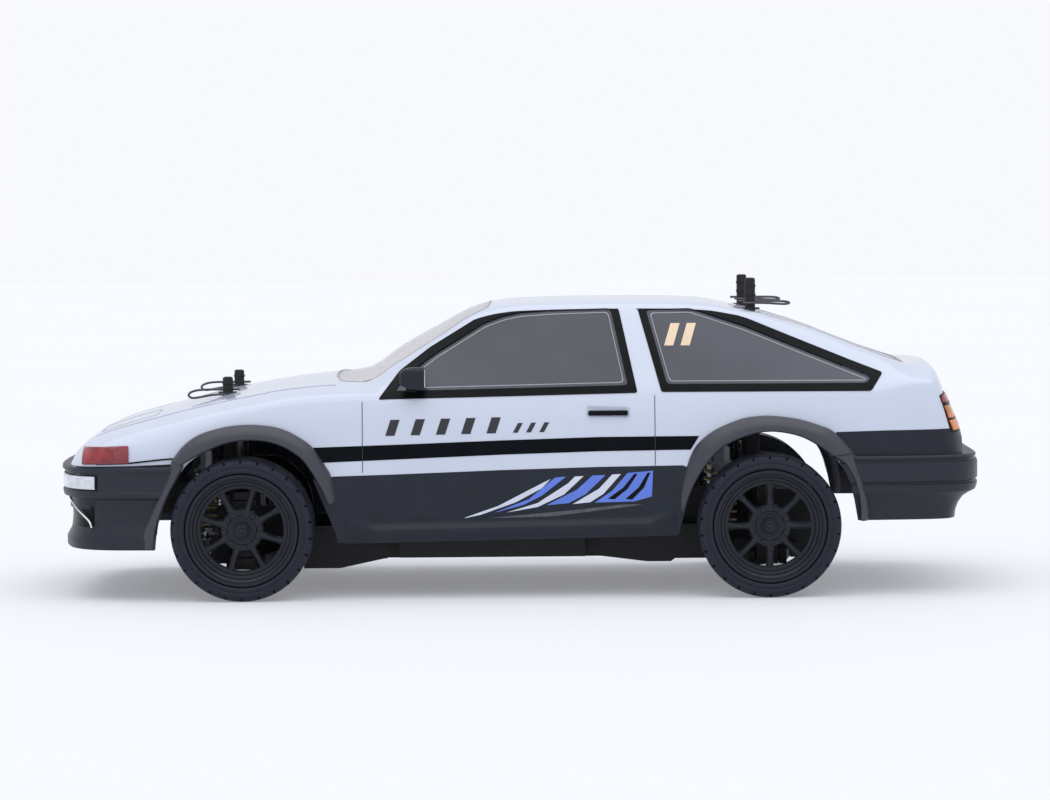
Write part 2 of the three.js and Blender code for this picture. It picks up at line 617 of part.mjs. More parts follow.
function steeringBlock(axleX) {
  const low = box(axleX - 5, axleX + 5, 54.2, 70, 13.4, 18.6);
  const high = box(axleX - 4.5, axleX + 4.5, 54.2, 70, 45.4, 49);
  const web = box(axleX - 3.5, axleX + 3.5, 54.2, 57, 18, 46);
  const kingpinHole = rod([axleX, KINGPIN_Y, 10], [axleX, KINGPIN_Y, 55], PIN_HOLE_R, 12);
  const block = union([low, high, web]).subtract(kingpinHole).subtract(pinHole(axleX));
  return block.add(linkStud(axleX, 48));
}

function knuckle(axleX) {
  const block = box(axleX - 5, axleX + 5, 61.5, 70, 19.2, 44.8);
  const kingpin = rod([axleX, KINGPIN_Y, 14], [axleX, KINGPIN_Y, 48.4], PIN_R, 12);
  const axle = rod([axleX, 68, AXLE_Z], [axleX, 84, AXLE_Z], AXLE_R, 12);
  const shoulder = rod([axleX, 69, AXLE_Z], [axleX, 73.4, AXLE_Z], 4.4, 10);
  const arm = floorPlate([
    [axleX - 4, 69], [axleX - 4, 62], [RACK_X + 2.5, 56], [RACK_X - 2.5, 56], [RACK_X - 2.5, 60],
  ], RACK_Z - 1.6, RACK_Z + 1.6);
  const stud = rod([RACK_X, 58, RACK_Z - 1], [RACK_X, 58, RACK_Z + 3.4], 1.4, 10);
  return union([block, kingpin, axle, shoulder, arm, stud]);
}

function rearHub(axleX) {
  const low = box(axleX - 5, axleX + 5, 54.2, 62, 13.4, 24);
  const body = rod([axleX, 54.2, AXLE_Z], [axleX, 66, AXLE_Z], 9, 14);
  const high = box(axleX - 4, axleX + 4, 54.2, 60, 38, 49);
  const bore = rod([axleX, 50, AXLE_Z], [axleX, 70, AXLE_Z], AXLE_HOLE_R, 12);
  const hub = union([low, body, high]).subtract(bore).subtract(pinHole(axleX));
  return hub.add(linkStud(axleX, 48));
}

function upperLink(axleX) {
  const bar = rod([axleX, 24, LINK_Z], [axleX, 53.6, LINK_Z], 1.6, 8);
  const innerEye = rod([axleX - 2.4, 23.8, LINK_Z], [axleX + 2.4, 23.8, LINK_Z], 2.4, 10);
  const outerEye = rod([axleX, ARM_PIN_Y, LINK_Z - 2], [axleX, ARM_PIN_Y, LINK_Z + 2], 4.4, 12);
  const hole = rod([axleX, ARM_PIN_Y, LINK_Z - 4], [axleX, ARM_PIN_Y, LINK_Z + 4], 2.4, 10);
  return union([bar, innerEye, outerEye]).subtract(hole);
}

// A point of the damper's line, share 0 at the top stud and 1 at the foot stud.
function damperPoint(x, share) {
  const y = DAMPER_TOP[0] + (DAMPER_FOOT[0] - DAMPER_TOP[0]) * share;
  const z = DAMPER_TOP[1] + (DAMPER_FOOT[1] - DAMPER_TOP[1]) * share;
  return [x, y, z];
}

function eye(x, share, r, holeR, halfWidth) {
  const [, y, z] = damperPoint(x, share);
  return rod([x - halfWidth, y, z], [x + halfWidth, y, z], r, 8)
    .subtract(rod([x - 9, y, z], [x + 9, y, z], holeR, 8));
}

function damperBody(x) {
  const barrel = rod(damperPoint(x, 0.1), damperPoint(x, 0.56), 4.4, 10);
  const collar = rod(damperPoint(x, 0.24), damperPoint(x, 0.27), 6.2, 10);
  const bore = rod(damperPoint(x, 0.2), damperPoint(x, 0.7), 1.5, 6);
  const neck = rod(damperPoint(x, 0.045), damperPoint(x, 0.12), 2.4, 8);
  return union([barrel, collar]).subtract(bore).add(eye(x, 0, 3.4, PIN_HOLE_R, 2.4)).add(neck);
}

function damperShaft(x) {
  const shaft = rod(damperPoint(x, 0.32), damperPoint(x, 0.945), 1.1, 6);
  const cup = rod(damperPoint(x, 0.84), damperPoint(x, 0.88), 5.8, 10);
  return shaft.add(cup).add(eye(x, 1, 3.6, 2.2, 2));
}

// The steering rack with its two tie rods; their outer eyes stay clear of the knuckles' studs.
function tieRod() {
  const bar = rod([RACK_X, 20.4, RACK_Z + 2.4], [RACK_X, 54.6, RACK_Z + 2.4], 1.4, 8);
  const turnbuckle = rod([RACK_X, 34, RACK_Z + 2.4], [RACK_X, 40, RACK_Z + 2.4], 2, 6);
  return bar.add(turnbuckle);
}

function steeringRack() {
  const bar = box(RACK_X - 2.5, RACK_X + 2.5, -20, 20, RACK_Z - 1, RACK_Z + 5);
  const tooth = box(RACK_X - 6, RACK_X - 2, -4, 4, RACK_Z, RACK_Z + 4);
  return bar.add(tooth);
}

// ---- wheels ----
function tyre(x) {
  const out = WHEEL_OUT_Y;
  const inn = WHEEL_IN_Y;
  const bead = RIM_R + GAP;
  return turned([
    [bead, inn + 0.8], [TYRE_R - 2, inn], [TYRE_R, inn + 2.4],
    [TYRE_R, out - 2.4], [TYRE_R - 2, out], [bead, out - 0.8],
  ], x, AXLE_Z, WHEEL_SIDES);
}

const SPOKES = 8;
const WHEEL_SIDES = 26;
const RIM_SIDES = 20;

function rim(x, firstSpoke) {
  const barrel = turned([
    [RIM_R, WHEEL_IN_Y + 1], [RIM_R, WHEEL_OUT_Y - 1], [19, WHEEL_OUT_Y - 4.4],
    [19, WHEEL_OUT_Y - 7.4], [24, WHEEL_OUT_Y - 9], [24.2, WHEEL_IN_Y + 1],
  ], x, AXLE_Z, RIM_SIDES);
  const hub = rod([x, 73.8, AXLE_Z], [x, 81, AXLE_Z], 8.4, 10);
  const bars = [];
  for (let i = 0; i < SPOKES / 2; i += 1) {
    const bar = box(-20.5, 20.5, 77.4, 80.8, -1.5, 1.5);
    const angle = firstSpoke + (i * 360) / SPOKES;
    bars.push(bar.rotate([0, angle, 0]).translate([x, 0, AXLE_Z]));
  }
  return union([barrel, hub, ...bars]);
}

function frontRim() {
  const bore = rod([FRONT_AXLE_X, 70, AXLE_Z], [FRONT_AXLE_X, 90, AXLE_Z], AXLE_HOLE_R, 12);
  return rim(FRONT_AXLE_X, 16).subtract(bore);
}

function rearRim() {
  const axle = rod([REAR_AXLE_X, 51.4, AXLE_Z], [REAR_AXLE_X, 84, AXLE_Z], AXLE_R, 12);
  const cup = rod([REAR_AXLE_X, 50.4, AXLE_Z], [REAR_AXLE_X, 53.4, AXLE_Z], 4.6, 10);
  return union([rim(REAR_AXLE_X, 0), axle, cup]);
}

function driveShaft() {
  return rod([REAR_AXLE_X, 23, AXLE_Z], [REAR_AXLE_X, 49.4, AXLE_Z], 1.8, 10);
}

function pair(name, made, finish) {
  node(`${name}_left`, made, finish);
  node(`${name}_right`, mirrored(made), finish);
}

function buildCorners() {
  const ends = [["front", FRONT_AXLE_X, FRONT_DAMPER_X], ["rear", REAR_AXLE_X, REAR_DAMPER_X]];
  for (const [end, axleX, damperX] of ends) {
    pair(`lower_arm_${end}`, lowerArm(axleX, damperX), "nylon");
    pair(`upper_link_${end}`, upperLink(axleX), "steel");
    pair(`damper_body_${end}`, damperBody(damperX), "alloy");
    pair(`damper_shaft_${end}`, damperShaft(damperX), "steel");
    pair(`tyre_${end}`, tyre(axleX), "tyre");
  }
  pair("rim_front", frontRim(), "rim");
  pair("rim_rear", rearRim(), "rim");
  pair("steering_block", steeringBlock(FRONT_AXLE_X), "nylon");
  pair("knuckle", knuckle(FRONT_AXLE_X), "nylon");
  pair("rear_hub", rearHub(REAR_AXLE_X), "nylon");
  pair("drive_shaft", driveShaft(), "steel");
  node("steering_rack", steeringRack(), "nylon");
  pair("tie_rod", tieRod(), "steel");
}

buildShell();
buildBumpers();
buildFlares();
buildPosts();
buildTub();
buildBulkheads();
buildElectrics();
buildGears();
buildCorners();

export default car;
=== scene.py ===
import bpy
import bmesh
import json
import math
import numpy as np
from mathutils import Vector, Matrix
from mathutils.geometry import delaunay_2d_cdt
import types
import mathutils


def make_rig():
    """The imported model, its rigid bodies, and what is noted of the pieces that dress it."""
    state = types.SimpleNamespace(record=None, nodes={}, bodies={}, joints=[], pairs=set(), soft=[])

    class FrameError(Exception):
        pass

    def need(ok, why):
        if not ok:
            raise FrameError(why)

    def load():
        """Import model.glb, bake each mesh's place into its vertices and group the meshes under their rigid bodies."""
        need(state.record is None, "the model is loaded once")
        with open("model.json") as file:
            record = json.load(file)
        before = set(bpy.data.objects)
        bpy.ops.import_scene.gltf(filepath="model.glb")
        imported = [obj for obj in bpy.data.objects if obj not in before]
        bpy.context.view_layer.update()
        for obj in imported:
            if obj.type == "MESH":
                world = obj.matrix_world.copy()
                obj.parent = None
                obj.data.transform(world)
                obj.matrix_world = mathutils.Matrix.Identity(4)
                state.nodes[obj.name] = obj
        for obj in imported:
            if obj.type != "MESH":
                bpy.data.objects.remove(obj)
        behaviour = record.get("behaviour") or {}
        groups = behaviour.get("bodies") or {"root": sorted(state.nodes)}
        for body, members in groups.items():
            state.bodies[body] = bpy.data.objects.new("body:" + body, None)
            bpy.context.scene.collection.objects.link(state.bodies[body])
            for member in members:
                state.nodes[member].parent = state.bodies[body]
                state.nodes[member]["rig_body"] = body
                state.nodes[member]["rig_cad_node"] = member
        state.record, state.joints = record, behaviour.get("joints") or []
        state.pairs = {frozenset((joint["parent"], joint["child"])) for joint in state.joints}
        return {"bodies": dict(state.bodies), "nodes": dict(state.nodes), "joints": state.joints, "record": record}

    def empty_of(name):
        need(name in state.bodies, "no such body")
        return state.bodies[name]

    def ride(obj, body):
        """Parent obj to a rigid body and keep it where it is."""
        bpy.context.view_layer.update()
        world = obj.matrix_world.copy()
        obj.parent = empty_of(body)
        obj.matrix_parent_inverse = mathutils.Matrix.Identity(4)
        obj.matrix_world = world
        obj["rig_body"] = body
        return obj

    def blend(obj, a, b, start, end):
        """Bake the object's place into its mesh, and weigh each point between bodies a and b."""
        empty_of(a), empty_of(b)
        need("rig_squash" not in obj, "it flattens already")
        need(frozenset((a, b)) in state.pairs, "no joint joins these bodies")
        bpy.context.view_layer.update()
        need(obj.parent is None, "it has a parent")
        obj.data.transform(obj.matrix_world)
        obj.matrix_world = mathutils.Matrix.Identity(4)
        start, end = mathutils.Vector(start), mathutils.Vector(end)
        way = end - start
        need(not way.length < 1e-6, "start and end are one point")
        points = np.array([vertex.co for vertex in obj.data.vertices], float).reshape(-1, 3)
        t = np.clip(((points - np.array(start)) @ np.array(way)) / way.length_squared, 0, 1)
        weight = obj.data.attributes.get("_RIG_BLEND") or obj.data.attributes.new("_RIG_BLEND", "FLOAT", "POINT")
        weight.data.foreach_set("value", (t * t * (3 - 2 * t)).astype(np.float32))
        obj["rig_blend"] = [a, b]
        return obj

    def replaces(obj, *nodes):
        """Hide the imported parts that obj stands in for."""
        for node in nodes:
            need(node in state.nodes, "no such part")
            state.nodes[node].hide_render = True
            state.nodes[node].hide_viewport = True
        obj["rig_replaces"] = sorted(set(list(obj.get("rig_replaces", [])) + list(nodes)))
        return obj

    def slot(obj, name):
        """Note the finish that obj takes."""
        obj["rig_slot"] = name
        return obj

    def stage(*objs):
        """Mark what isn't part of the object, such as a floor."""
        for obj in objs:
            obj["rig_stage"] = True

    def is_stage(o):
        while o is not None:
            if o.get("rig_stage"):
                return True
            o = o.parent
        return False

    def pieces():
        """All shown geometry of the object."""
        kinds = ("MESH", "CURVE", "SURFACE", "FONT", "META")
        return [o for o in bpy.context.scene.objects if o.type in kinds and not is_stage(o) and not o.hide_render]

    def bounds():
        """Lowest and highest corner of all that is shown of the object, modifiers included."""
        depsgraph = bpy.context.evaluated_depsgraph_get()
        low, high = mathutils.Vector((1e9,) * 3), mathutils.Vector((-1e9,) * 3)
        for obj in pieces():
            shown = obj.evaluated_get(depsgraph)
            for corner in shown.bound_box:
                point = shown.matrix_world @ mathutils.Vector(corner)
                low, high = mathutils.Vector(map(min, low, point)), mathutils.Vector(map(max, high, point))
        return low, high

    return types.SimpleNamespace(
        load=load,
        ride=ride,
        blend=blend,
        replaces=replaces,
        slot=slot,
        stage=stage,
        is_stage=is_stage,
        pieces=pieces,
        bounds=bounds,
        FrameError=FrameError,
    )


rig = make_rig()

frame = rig.load()
CAD_BOUNDS = [list(corner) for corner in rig.bounds()]

# Lengths in this script are in millimetres, in the car's frame, until they become vertices.
# The body's tables are measured from a datum DATUM_X ahead of the frame's origin.
MM = 0.001
DATUM_X = 3.0


# ---------------------------------------------------------------- small tools
def new_object(name, mesh):
    obj = bpy.data.objects.new(name, mesh)
    bpy.context.scene.collection.objects.link(obj)
    return obj


def mesh_object(name, verts, faces, material, smooth=None):
    mesh = bpy.data.meshes.new(name)
    mesh.from_pydata([tuple(float(c) * MM for c in v) for v in verts], [], faces)
    mesh.validate()
    mesh.materials.append(material)
    obj = new_object(name, mesh)
    recalculate(mesh)
    if smooth is not None:
        smooth_by(mesh, smooth)
    return obj


def recalculate(mesh):
    bm = bmesh.new()
    bm.from_mesh(mesh)
    bmesh.ops.recalc_face_normals(bm, faces=bm.faces)
    bm.to_mesh(mesh)
    bm.free()


def smooth_by(mesh, degrees):
    mesh.shade_smooth()
    mesh.set_sharp_from_angle(angle=math.radians(degrees))


def bake(obj, smooth=None):
    """Turns an object's modifiers into plain vertices."""
    bpy.context.view_layer.update()
    graph = bpy.context.evaluated_depsgraph_get()
    mesh = bpy.data.meshes.new_from_object(obj.evaluated_get(graph))
    obj.modifiers.clear()
    obj.data = mesh
    if smooth is not None:
        smooth_by(mesh, smooth)
    return obj


def bevel(obj, width, segments=2, smooth=35, angle=30):
    m = obj.modifiers.new("bevel", "BEVEL")
    m.width = width * MM
    m.segments = segments
    m.limit_method = "ANGLE"
    m.angle_limit = math.radians(angle)
    m.harden_normals = False
    return bake(obj, smooth)


def cut(obj, cutters):
    for cutter in cutters:
        m = obj.modifiers.new("cut", "BOOLEAN")
        m.operation = "DIFFERENCE"
        m.solver = "EXACT"
        m.object = cutter
    bake(obj)
    for cutter in cutters:
        bpy.data.objects.remove(cutter)
    return obj


def join(name, objects):
    """One object out of several, keeping each one's materials."""
    bm = bmesh.new()
    materials = []
    for obj in objects:
        start = len(bm.faces)
        bm.from_mesh(obj.data)
        bm.faces.ensure_lookup_table()
        slots = []
        for material in obj.data.materials:
            if material not in materials:
                materials.append(material)
            slots.append(materials.index(material))
        for face in bm.faces[start:]:
            face.material_index = slots[min(face.material_index, len(slots) - 1)]
    mesh = bpy.data.meshes.new(name)
    bm.to_mesh(mesh)
    bm.free()
    for material in materials:
        mesh.materials.append(material)
    for obj in objects:
        bpy.data.objects.remove(obj)
    return new_object(name, mesh)


def mirror_copy(obj, name):
    mesh = obj.data.copy()
    mesh.transform(Matrix.Scale(-1, 4, (0, 1, 0)))
    mesh.flip_normals()
    return new_object(name, mesh)


def box(name, lo, hi, material, round_by=0.0):
    (x0, y0, z0), (x1, y1, z1) = lo, hi
    verts = [(x, y, z) for x in (x0, x1) for y in (y0, y1) for z in (z0, z1)]
    faces = [(0, 1, 3, 2), (4, 6, 7, 5), (0, 4, 5, 1), (2, 3, 7, 6), (0, 2, 6, 4), (1, 5, 7, 3)]
    obj = mesh_object(name, verts, faces, material)
    return bevel(obj, round_by, 3) if round_by else obj


def rod(name, a, b, radius, material, sides=24, end_radius=None, round_by=0.0):
    end_radius = radius if end_radius is None else end_radius
    a, b = Vector(a), Vector(b)
    turn = (b - a).to_track_quat("Z", "Y")
    loops = []
    for point, r in ((a, radius), (b, end_radius)):
        angles = [2 * math.pi * i / sides for i in range(sides)]
        loops.append([point + turn @ Vector((r * math.cos(t), r * math.sin(t), 0)) for t in angles])
    obj = between(name, *loops, material, 40)
    return bevel(obj, round_by, 2) if round_by else obj


def turned(name, profile, centre, material, sides=96, smooth=32):
    """A solid of revolution about the wheel axis; profile is a closed loop of (radius, y)."""
    cx, cz = centre
    verts = []
    for i in range(sides):
        t = 2 * math.pi * i / sides
        verts += [(cx + r * math.sin(t), y, cz + r * math.cos(t)) for r, y in profile]
    n = len(profile)
    faces = []
    for i in range(sides):
        for j in range(n):
            a, b = i * n, ((i + 1) % sides) * n
            k = (j + 1) % n
            faces.append((a + j, b + j, b + k, a + k))
    return mesh_object(name, verts, faces, material, smooth)


def loft(name, rings, material, smooth=35):
    """Rings of equal length joined into a skin, with both ends closed."""
    n = len(rings[0])
    verts = [p for ring in rings for p in ring]
    faces = []
    for i in range(len(rings) - 1):
        a, b = i * n, (i + 1) * n
        for j in range(n):
            k = (j + 1) % n
            faces.append((a + j, a + k, b + k, b + j))
    faces += [tuple(range(n)), tuple(range((len(rings) - 1) * n, len(rings) * n))]
    return mesh_object(name, verts, faces, material, smooth)


def heading(points, i):
    """The direction of a path at its point i."""
    return (points[min(i + 1, len(points) - 1)] - points[max(i - 1, 0)]).normalized()


def wire(name, path, radius, material, sides=10):
    """A round wire along a path of points."""
    pts = [Vector(p) for p in path]
    rings = []
    side = heading(pts, 0).orthogonal().normalized()
    for i, p in enumerate(pts):
        along = heading(pts, i)
        side = (side - along * side.dot(along)).normalized()
        other = along.cross(side)
        ring = []
        for k in range(sides):
            t = 2 * math.pi * k / sides
            ring.append(p + (side * math.cos(t) + other * math.sin(t)) * radius)
        rings.append(ring)
    return loft(name, rings, material, 50)


def smooth_path(points, times=3):
    """Corner cutting that keeps both ends."""
    pts = [Vector(p) for p in points]
    for _ in range(times):
        out = [pts[0]]
        for a, b in zip(pts, pts[1:]):
            out += [a.lerp(b, 0.25), a.lerp(b, 0.75)]
        out.append(pts[-1])
        pts = out
    return pts


def between(name, near, far, material, smooth=None):
    """A solid between two loops with the same number of points."""
    n = len(near)
    faces = [(i, (i + 1) % n, (i + 1) % n + n, i + n) for i in range(n)]
    faces += [tuple(range(n)), tuple(range(n, 2 * n))]
    return mesh_object(name, near + far, faces, material, smooth)


def prism(name, outline, y0, y1, material):
    """A solid with an outline in X and Z."""
    return between(name, [(x, y0, z) for x, z in outline], [(x, y1, z) for x, z in outline], material)


def upright(name, outline, z0, z1, material):
    """A solid with an outline in X and Y."""
    return between(name, [(x, y, z0) for x, y in outline], [(x, y, z1) for x, y in outline], material)


ARCH_DEPTH, WINDOW_DEPTH = 45, 40
CUTTER_END = 95


def side_cutters(outline, depth):
    """Cutters for an opening in both of the car's sides, in to depth; the outline is in X and Z."""
    spans = ((depth, CUTTER_END), (-CUTTER_END, -depth))
    return [prism("side_cutter", outline, y0, y1, PLAIN) for y0, y1 in spans]


def repaint(obj, material, smooth):
    """Gives all of a cut object one material again, and smooth shading."""
    obj.data.materials.clear()
    obj.data.materials.append(material)
    smooth_by(obj.data, smooth)


# ---------------------------------------------------------------- materials
def surface(name, color, rough=0.5, metal=0.0, vary=0.06, grain=300.0, bump=0.0, coat=0.0,
            alpha=1.0, rough_vary=0.12, shine=0.5):
    """A procedural material: fine noise moves its colour and its roughness, and can raise a grain."""
    m = bpy.data.materials.new(name)
    m.use_nodes = True
    nodes, links = m.node_tree.nodes, m.node_tree.links
    shader = nodes["Principled BSDF"]
    texture = nodes.new("ShaderNodeTexCoord")
    noise = nodes.new("ShaderNodeTexNoise")
    noise.inputs["Scale"].default_value = grain
    noise.inputs["Detail"].default_value = 3.0
    links.new(texture.outputs["Object"], noise.inputs["Vector"])
    tint = nodes.new("ShaderNodeValToRGB")
    for element, position, share in zip(tint.color_ramp.elements, (0.3, 0.7), (1 - vary, 1 + vary)):
        element.position = position
        element.color = (*(min(c * share, 1.0) for c in color), 1)
    links.new(noise.outputs["Fac"], tint.inputs["Fac"])
    links.new(tint.outputs["Color"], shader.inputs["Base Color"])
    spread = nodes.new("ShaderNodeMapRange")
    spread.inputs["To Min"].default_value = max(rough - rough_vary / 2, 0.0)
    spread.inputs["To Max"].default_value = min(rough + rough_vary / 2, 1.0)
    broad = nodes.new("ShaderNodeTexNoise")
    broad.inputs["Scale"].default_value = grain / 12
    links.new(texture.outputs["Object"], broad.inputs["Vector"])
    links.new(broad.outputs["Fac"], spread.inputs["Value"])
    links.new(spread.outputs["Result"], shader.inputs["Roughness"])
    shader.inputs["Metallic"].default_value = metal
    shader.inputs["Coat Weight"].default_value = coat
    shader.inputs["Coat Roughness"].default_value = 0.06
    shader.inputs["Alpha"].default_value = alpha
    shader.inputs["Specular IOR Level"].default_value = shine
    if bump:
        raised = nodes.new("ShaderNodeBump")
        raised.inputs["Strength"].default_value = bump
        raised.inputs["Distance"].default_value = 0.0004
        links.new(noise.outputs["Fac"], raised.inputs["Height"])
        links.new(raised.outputs["Normal"], shader.inputs["Normal"])
    return m


PLAIN = surface("plain", (0.5, 0.5, 0.5))
WHITE = surface("shell_paint", (0.56, 0.605, 0.72), 0.22, vary=0.012, grain=60, coat=0.6, rough_vary=0.05)
BLACK = surface("stripe_black", (0.0035, 0.0055, 0.0075), 0.3, vary=0.2, grain=80, rough_vary=0.08,
                shine=0.05)
LOWER = surface("lower_black", (0.0125, 0.0165, 0.026), 0.34, vary=0.12, grain=120, rough_vary=0.1,
                shine=0.25)
FRAME_BLACK = surface("frame_black", (0.004, 0.005, 0.006), 0.3, vary=0.2, grain=120, shine=0.1)
LINE = surface("panel_line", (0.36, 0.39, 0.47), 0.5, vary=0.1)
DARK_LINE = surface("dark_line", (0.02, 0.022, 0.028), 0.6, vary=0.1)
FLARE = surface("flare_plastic", (0.046, 0.048, 0.061), 0.34, vary=0.06, grain=500, bump=0.05, shine=0.4)
BUMPER = surface("bumper_plastic", (0.0185, 0.0215, 0.0315), 0.40, vary=0.08, grain=500, bump=0.05,
                 shine=0.28)
GLASS = surface("side_glass", (0.062, 0.068, 0.088), 0.12, vary=0.3, alpha=0.92, grain=11)
# A pale, nearly white colour for the windscreen and the hatch's glass: painted reflection of the bright surroundings.
SCREEN_SHEEN = surface("screen_glass", (0.80, 0.77, 0.79), 0.1, vary=0.05, alpha=0.6, grain=40)
# A light grey for the windscreen's seal, and for the thin line inside each side window's frame, which is painted
# highlight.
SEAL_AND_GLINT_LINE = surface("seal_line", (0.33, 0.34, 0.36), 0.4, vary=0.05)
TYRE = surface("tyre_rubber", (0.0155, 0.019, 0.030), 0.48, vary=0.15, grain=700, bump=0.12, shine=0.2)
RIM = surface("rim_black", (0.0125, 0.015, 0.0215), 0.34, vary=0.1, grain=300, shine=0.25)
NYLON = surface("nylon", (0.016, 0.0165, 0.018), 0.5, vary=0.15, grain=600, bump=0.1, shine=0.25)
STEEL = surface("steel", (0.55, 0.55, 0.56), 0.28, metal=1.0, vary=0.06, grain=400)
DARK_STEEL = surface("dark_steel", (0.09, 0.09, 0.10), 0.35, metal=1.0, vary=0.1, grain=400)
ALLOY = surface("alloy", (0.5, 0.51, 0.53), 0.35, metal=1.0, vary=0.05, grain=300)
GOLD = surface("gold_spring", (0.42, 0.33, 0.16), 0.35, metal=0.8, vary=0.08, grain=400)
BATTERY = surface("battery_wrap", (0.03, 0.033, 0.04), 0.35, vary=0.1, grain=80, coat=0.3)
FOAM = surface("foam", (0.02, 0.02, 0.021), 0.95, vary=0.4, grain=1500, bump=0.6)
BLUE = surface("slash_blue", (0.10, 0.19, 0.68), 0.28, vary=0.05, grain=100)
SLASH_WHITE = surface("slash_white", (0.62, 0.66, 0.78), 0.3, vary=0.03, grain=100)
SLASH_GREY = surface("slash_grey", (0.07, 0.075, 0.085), 0.4, vary=0.3, grain=400)
# A greyer white for the recess above the door handle: painted shade.
RECESS_SHADE = surface("handle_recess", (0.42, 0.46, 0.56), 0.4, vary=0.05, grain=100)
BEIGE = surface("beige_mark", (0.80, 0.62, 0.44), 0.5, vary=0.05, grain=100)
RED_LENS = surface("red_lens", (0.27, 0.018, 0.024), 0.15, vary=0.4, grain=160, coat=0.5)
DARK_RED = surface("red_lens_dark", (0.2, 0.012, 0.02), 0.15, vary=0.25, grain=120, coat=0.8)
AMBER = surface("amber_lens", (0.62, 0.19, 0.04), 0.15, vary=0.3, grain=160, coat=0.5)
CLEAR_LENS = surface("clear_lens", (0.62, 0.64, 0.70), 0.12, vary=0.18, grain=220, coat=0.8)
# A bright chrome for the wire along the front bumper's duct: painted highlight along its crease.
CHROME_GLINT = surface("chrome", (0.75, 0.76, 0.78), 0.12, metal=1.0, vary=0.03)
MIRROR = surface("mirror_face", (0.7, 0.72, 0.75), 0.04, metal=1.0, vary=0.02, rough_vary=0.02)


# ---------------------------------------------------------------- the body's form: [x, value] rows
TOP_Z = [
    (203.4, 63.2), (200.4, 68.4), (197, 72), (190.5, 76.4), (181, 80), (162, 85.3), (152.4, 88.1),
    (121, 95), (100, 98.3), (83, 100.3), (70, 102.2), (66.8, 103), (52.5, 112.6), (33.4, 123.2),
    (15.8, 131.8), (5, 133.8), (-4.6, 134.5), (-42, 135.1), (-71, 134.9), (-90, 134), (-103.3, 131.5),
    (-117, 128.4), (-137.4, 122.2), (-161, 113), (-175.3, 107.6), (-186, 104.8), (-194, 104.8),
    (-197, 102.7), (-199.3, 96.5), (-201.5, 90.5), (-207.2, 74.6),
]
EDGE_Z = [
    (203.4, 62.4), (200.4, 67), (197, 70.4), (190.5, 74.6), (181, 78.3), (162, 83.6), (152.4, 86),
    (121, 92.6), (100, 96.2), (83, 97.6), (66.8, 98), (52.5, 106.4), (33.4, 119), (15.8, 129.6),
    (5, 132.4), (-4.6, 133.5), (-42, 134.2), (-71, 134), (-90, 133), (-103.3, 130.6),
    (-117, 127.6), (-137.4, 121.4), (-161, 112.2), (-175.3, 106.9), (-186, 103.8), (-193, 103.4),
    (-195.6, 100.4), (-198.2, 94.5), (-200.6, 88.5), (-207.2, 73.6),
]
EDGE_Y = [
    (203.4, 44), (200.4, 53), (190.5, 60), (121, 62), (83, 62), (66.8, 61), (52.5, 59), (15.8, 55),
    (-42, 54), (-90, 54), (-137.4, 57), (-175.3, 61), (-193, 60), (-199.3, 58), (-207.2, 53),
]
BELT_Z = [
    (203.4, 61.4), (200.4, 63.6), (190.5, 70.3), (173, 76), (155, 80.3), (141, 83.8), (123, 87.4),
    (105, 90.8), (86, 92.8), (66.8, 93.4), (52.5, 91.6), (-60, 92.4), (-165, 94), (-184, 97.5),
    (-193, 97), (-197, 91), (-201.5, 82), (-207.2, 71),
]
BELT_Y = [
    (203.4, 52), (200.4, 62), (197, 67.4), (190.5, 72.4), (175, 74.5), (121, 75.6), (60, 76),
    (-120, 76), (-170, 75.6), (-184, 74.4), (-193, 72.4), (-199.3, 69.4), (-204, 65.6), (-207.2, 60),
]
SIDE_Y = [
    (203.4, 57), (200.4, 67), (197, 72.4), (190.5, 77), (175, 79), (121, 80), (60, 80),
    (-120, 80), (-165, 79.2), (-184, 78), (-193, 76.6), (-199.3, 73.6), (-204, 69), (-207.2, 63),
]
SKIRT_Z = [
    (203.4, 42), (166, 42), (160, 25), (85, 25), (78, 26), (-76.5, 28.5), (-82, 30), (-150, 46),
    (-207.2, 46),
]
NOSE_X, TAIL_X = 203.4, -207.2
SHELL_WALL = 1.2
FRONT_AXLE = (122.5, 32.5)
REAR_AXLE = (-117.5, 32.5)


def curve(table):
    """A smooth curve through a table's rows that never overshoots between them."""
    rows = np.array(sorted(table), float)
    xs, vs = rows[:, 0], rows[:, 1]
    h = np.diff(xs)
    rise = np.diff(vs) / h
    tangent = np.zeros(len(xs))
    for i in range(1, len(xs) - 1):
        if rise[i - 1] * rise[i] > 0:
            a, b = 2 * h[i] + h[i - 1], h[i] + 2 * h[i - 1]
            tangent[i] = (a + b) / (a / rise[i - 1] + b / rise[i])
    tangent[0], tangent[-1] = rise[0], rise[-1]

    def value(x):
        x = min(max(x, xs[0]), xs[-1])
        i = min(max(int(np.searchsorted(xs, x)) - 1, 0), len(h) - 1)
        t = (x - xs[i]) / h[i]
        return (vs[i] * (1 + 2 * t) * (1 - t) ** 2 + tangent[i] * h[i] * t * (1 - t) ** 2
                + vs[i + 1] * t * t * (3 - 2 * t) - tangent[i + 1] * h[i] * t * t * (1 - t))
    return value


top_at, edge_z_at, edge_y_at = curve(TOP_Z), curve(EDGE_Z), curve(EDGE_Y)
belt_z_at, belt_y_at, side_y_at = curve(BELT_Z), curve(BELT_Y), curve(SIDE_Y)


def straight(table, x):
    """The value at x on straight lines through a table's rows."""
    rows = sorted(table)
    return float(np.interp(x, [r[0] for r in rows], [r[1] for r in rows]))


SECTION_STEPS = (6, 3, 6, 5, 7, 7, 24)
ROUNDING = 3
# Heights of the flank's two lower corners.
TUCK_Z, WAIST_Z = 49, 57


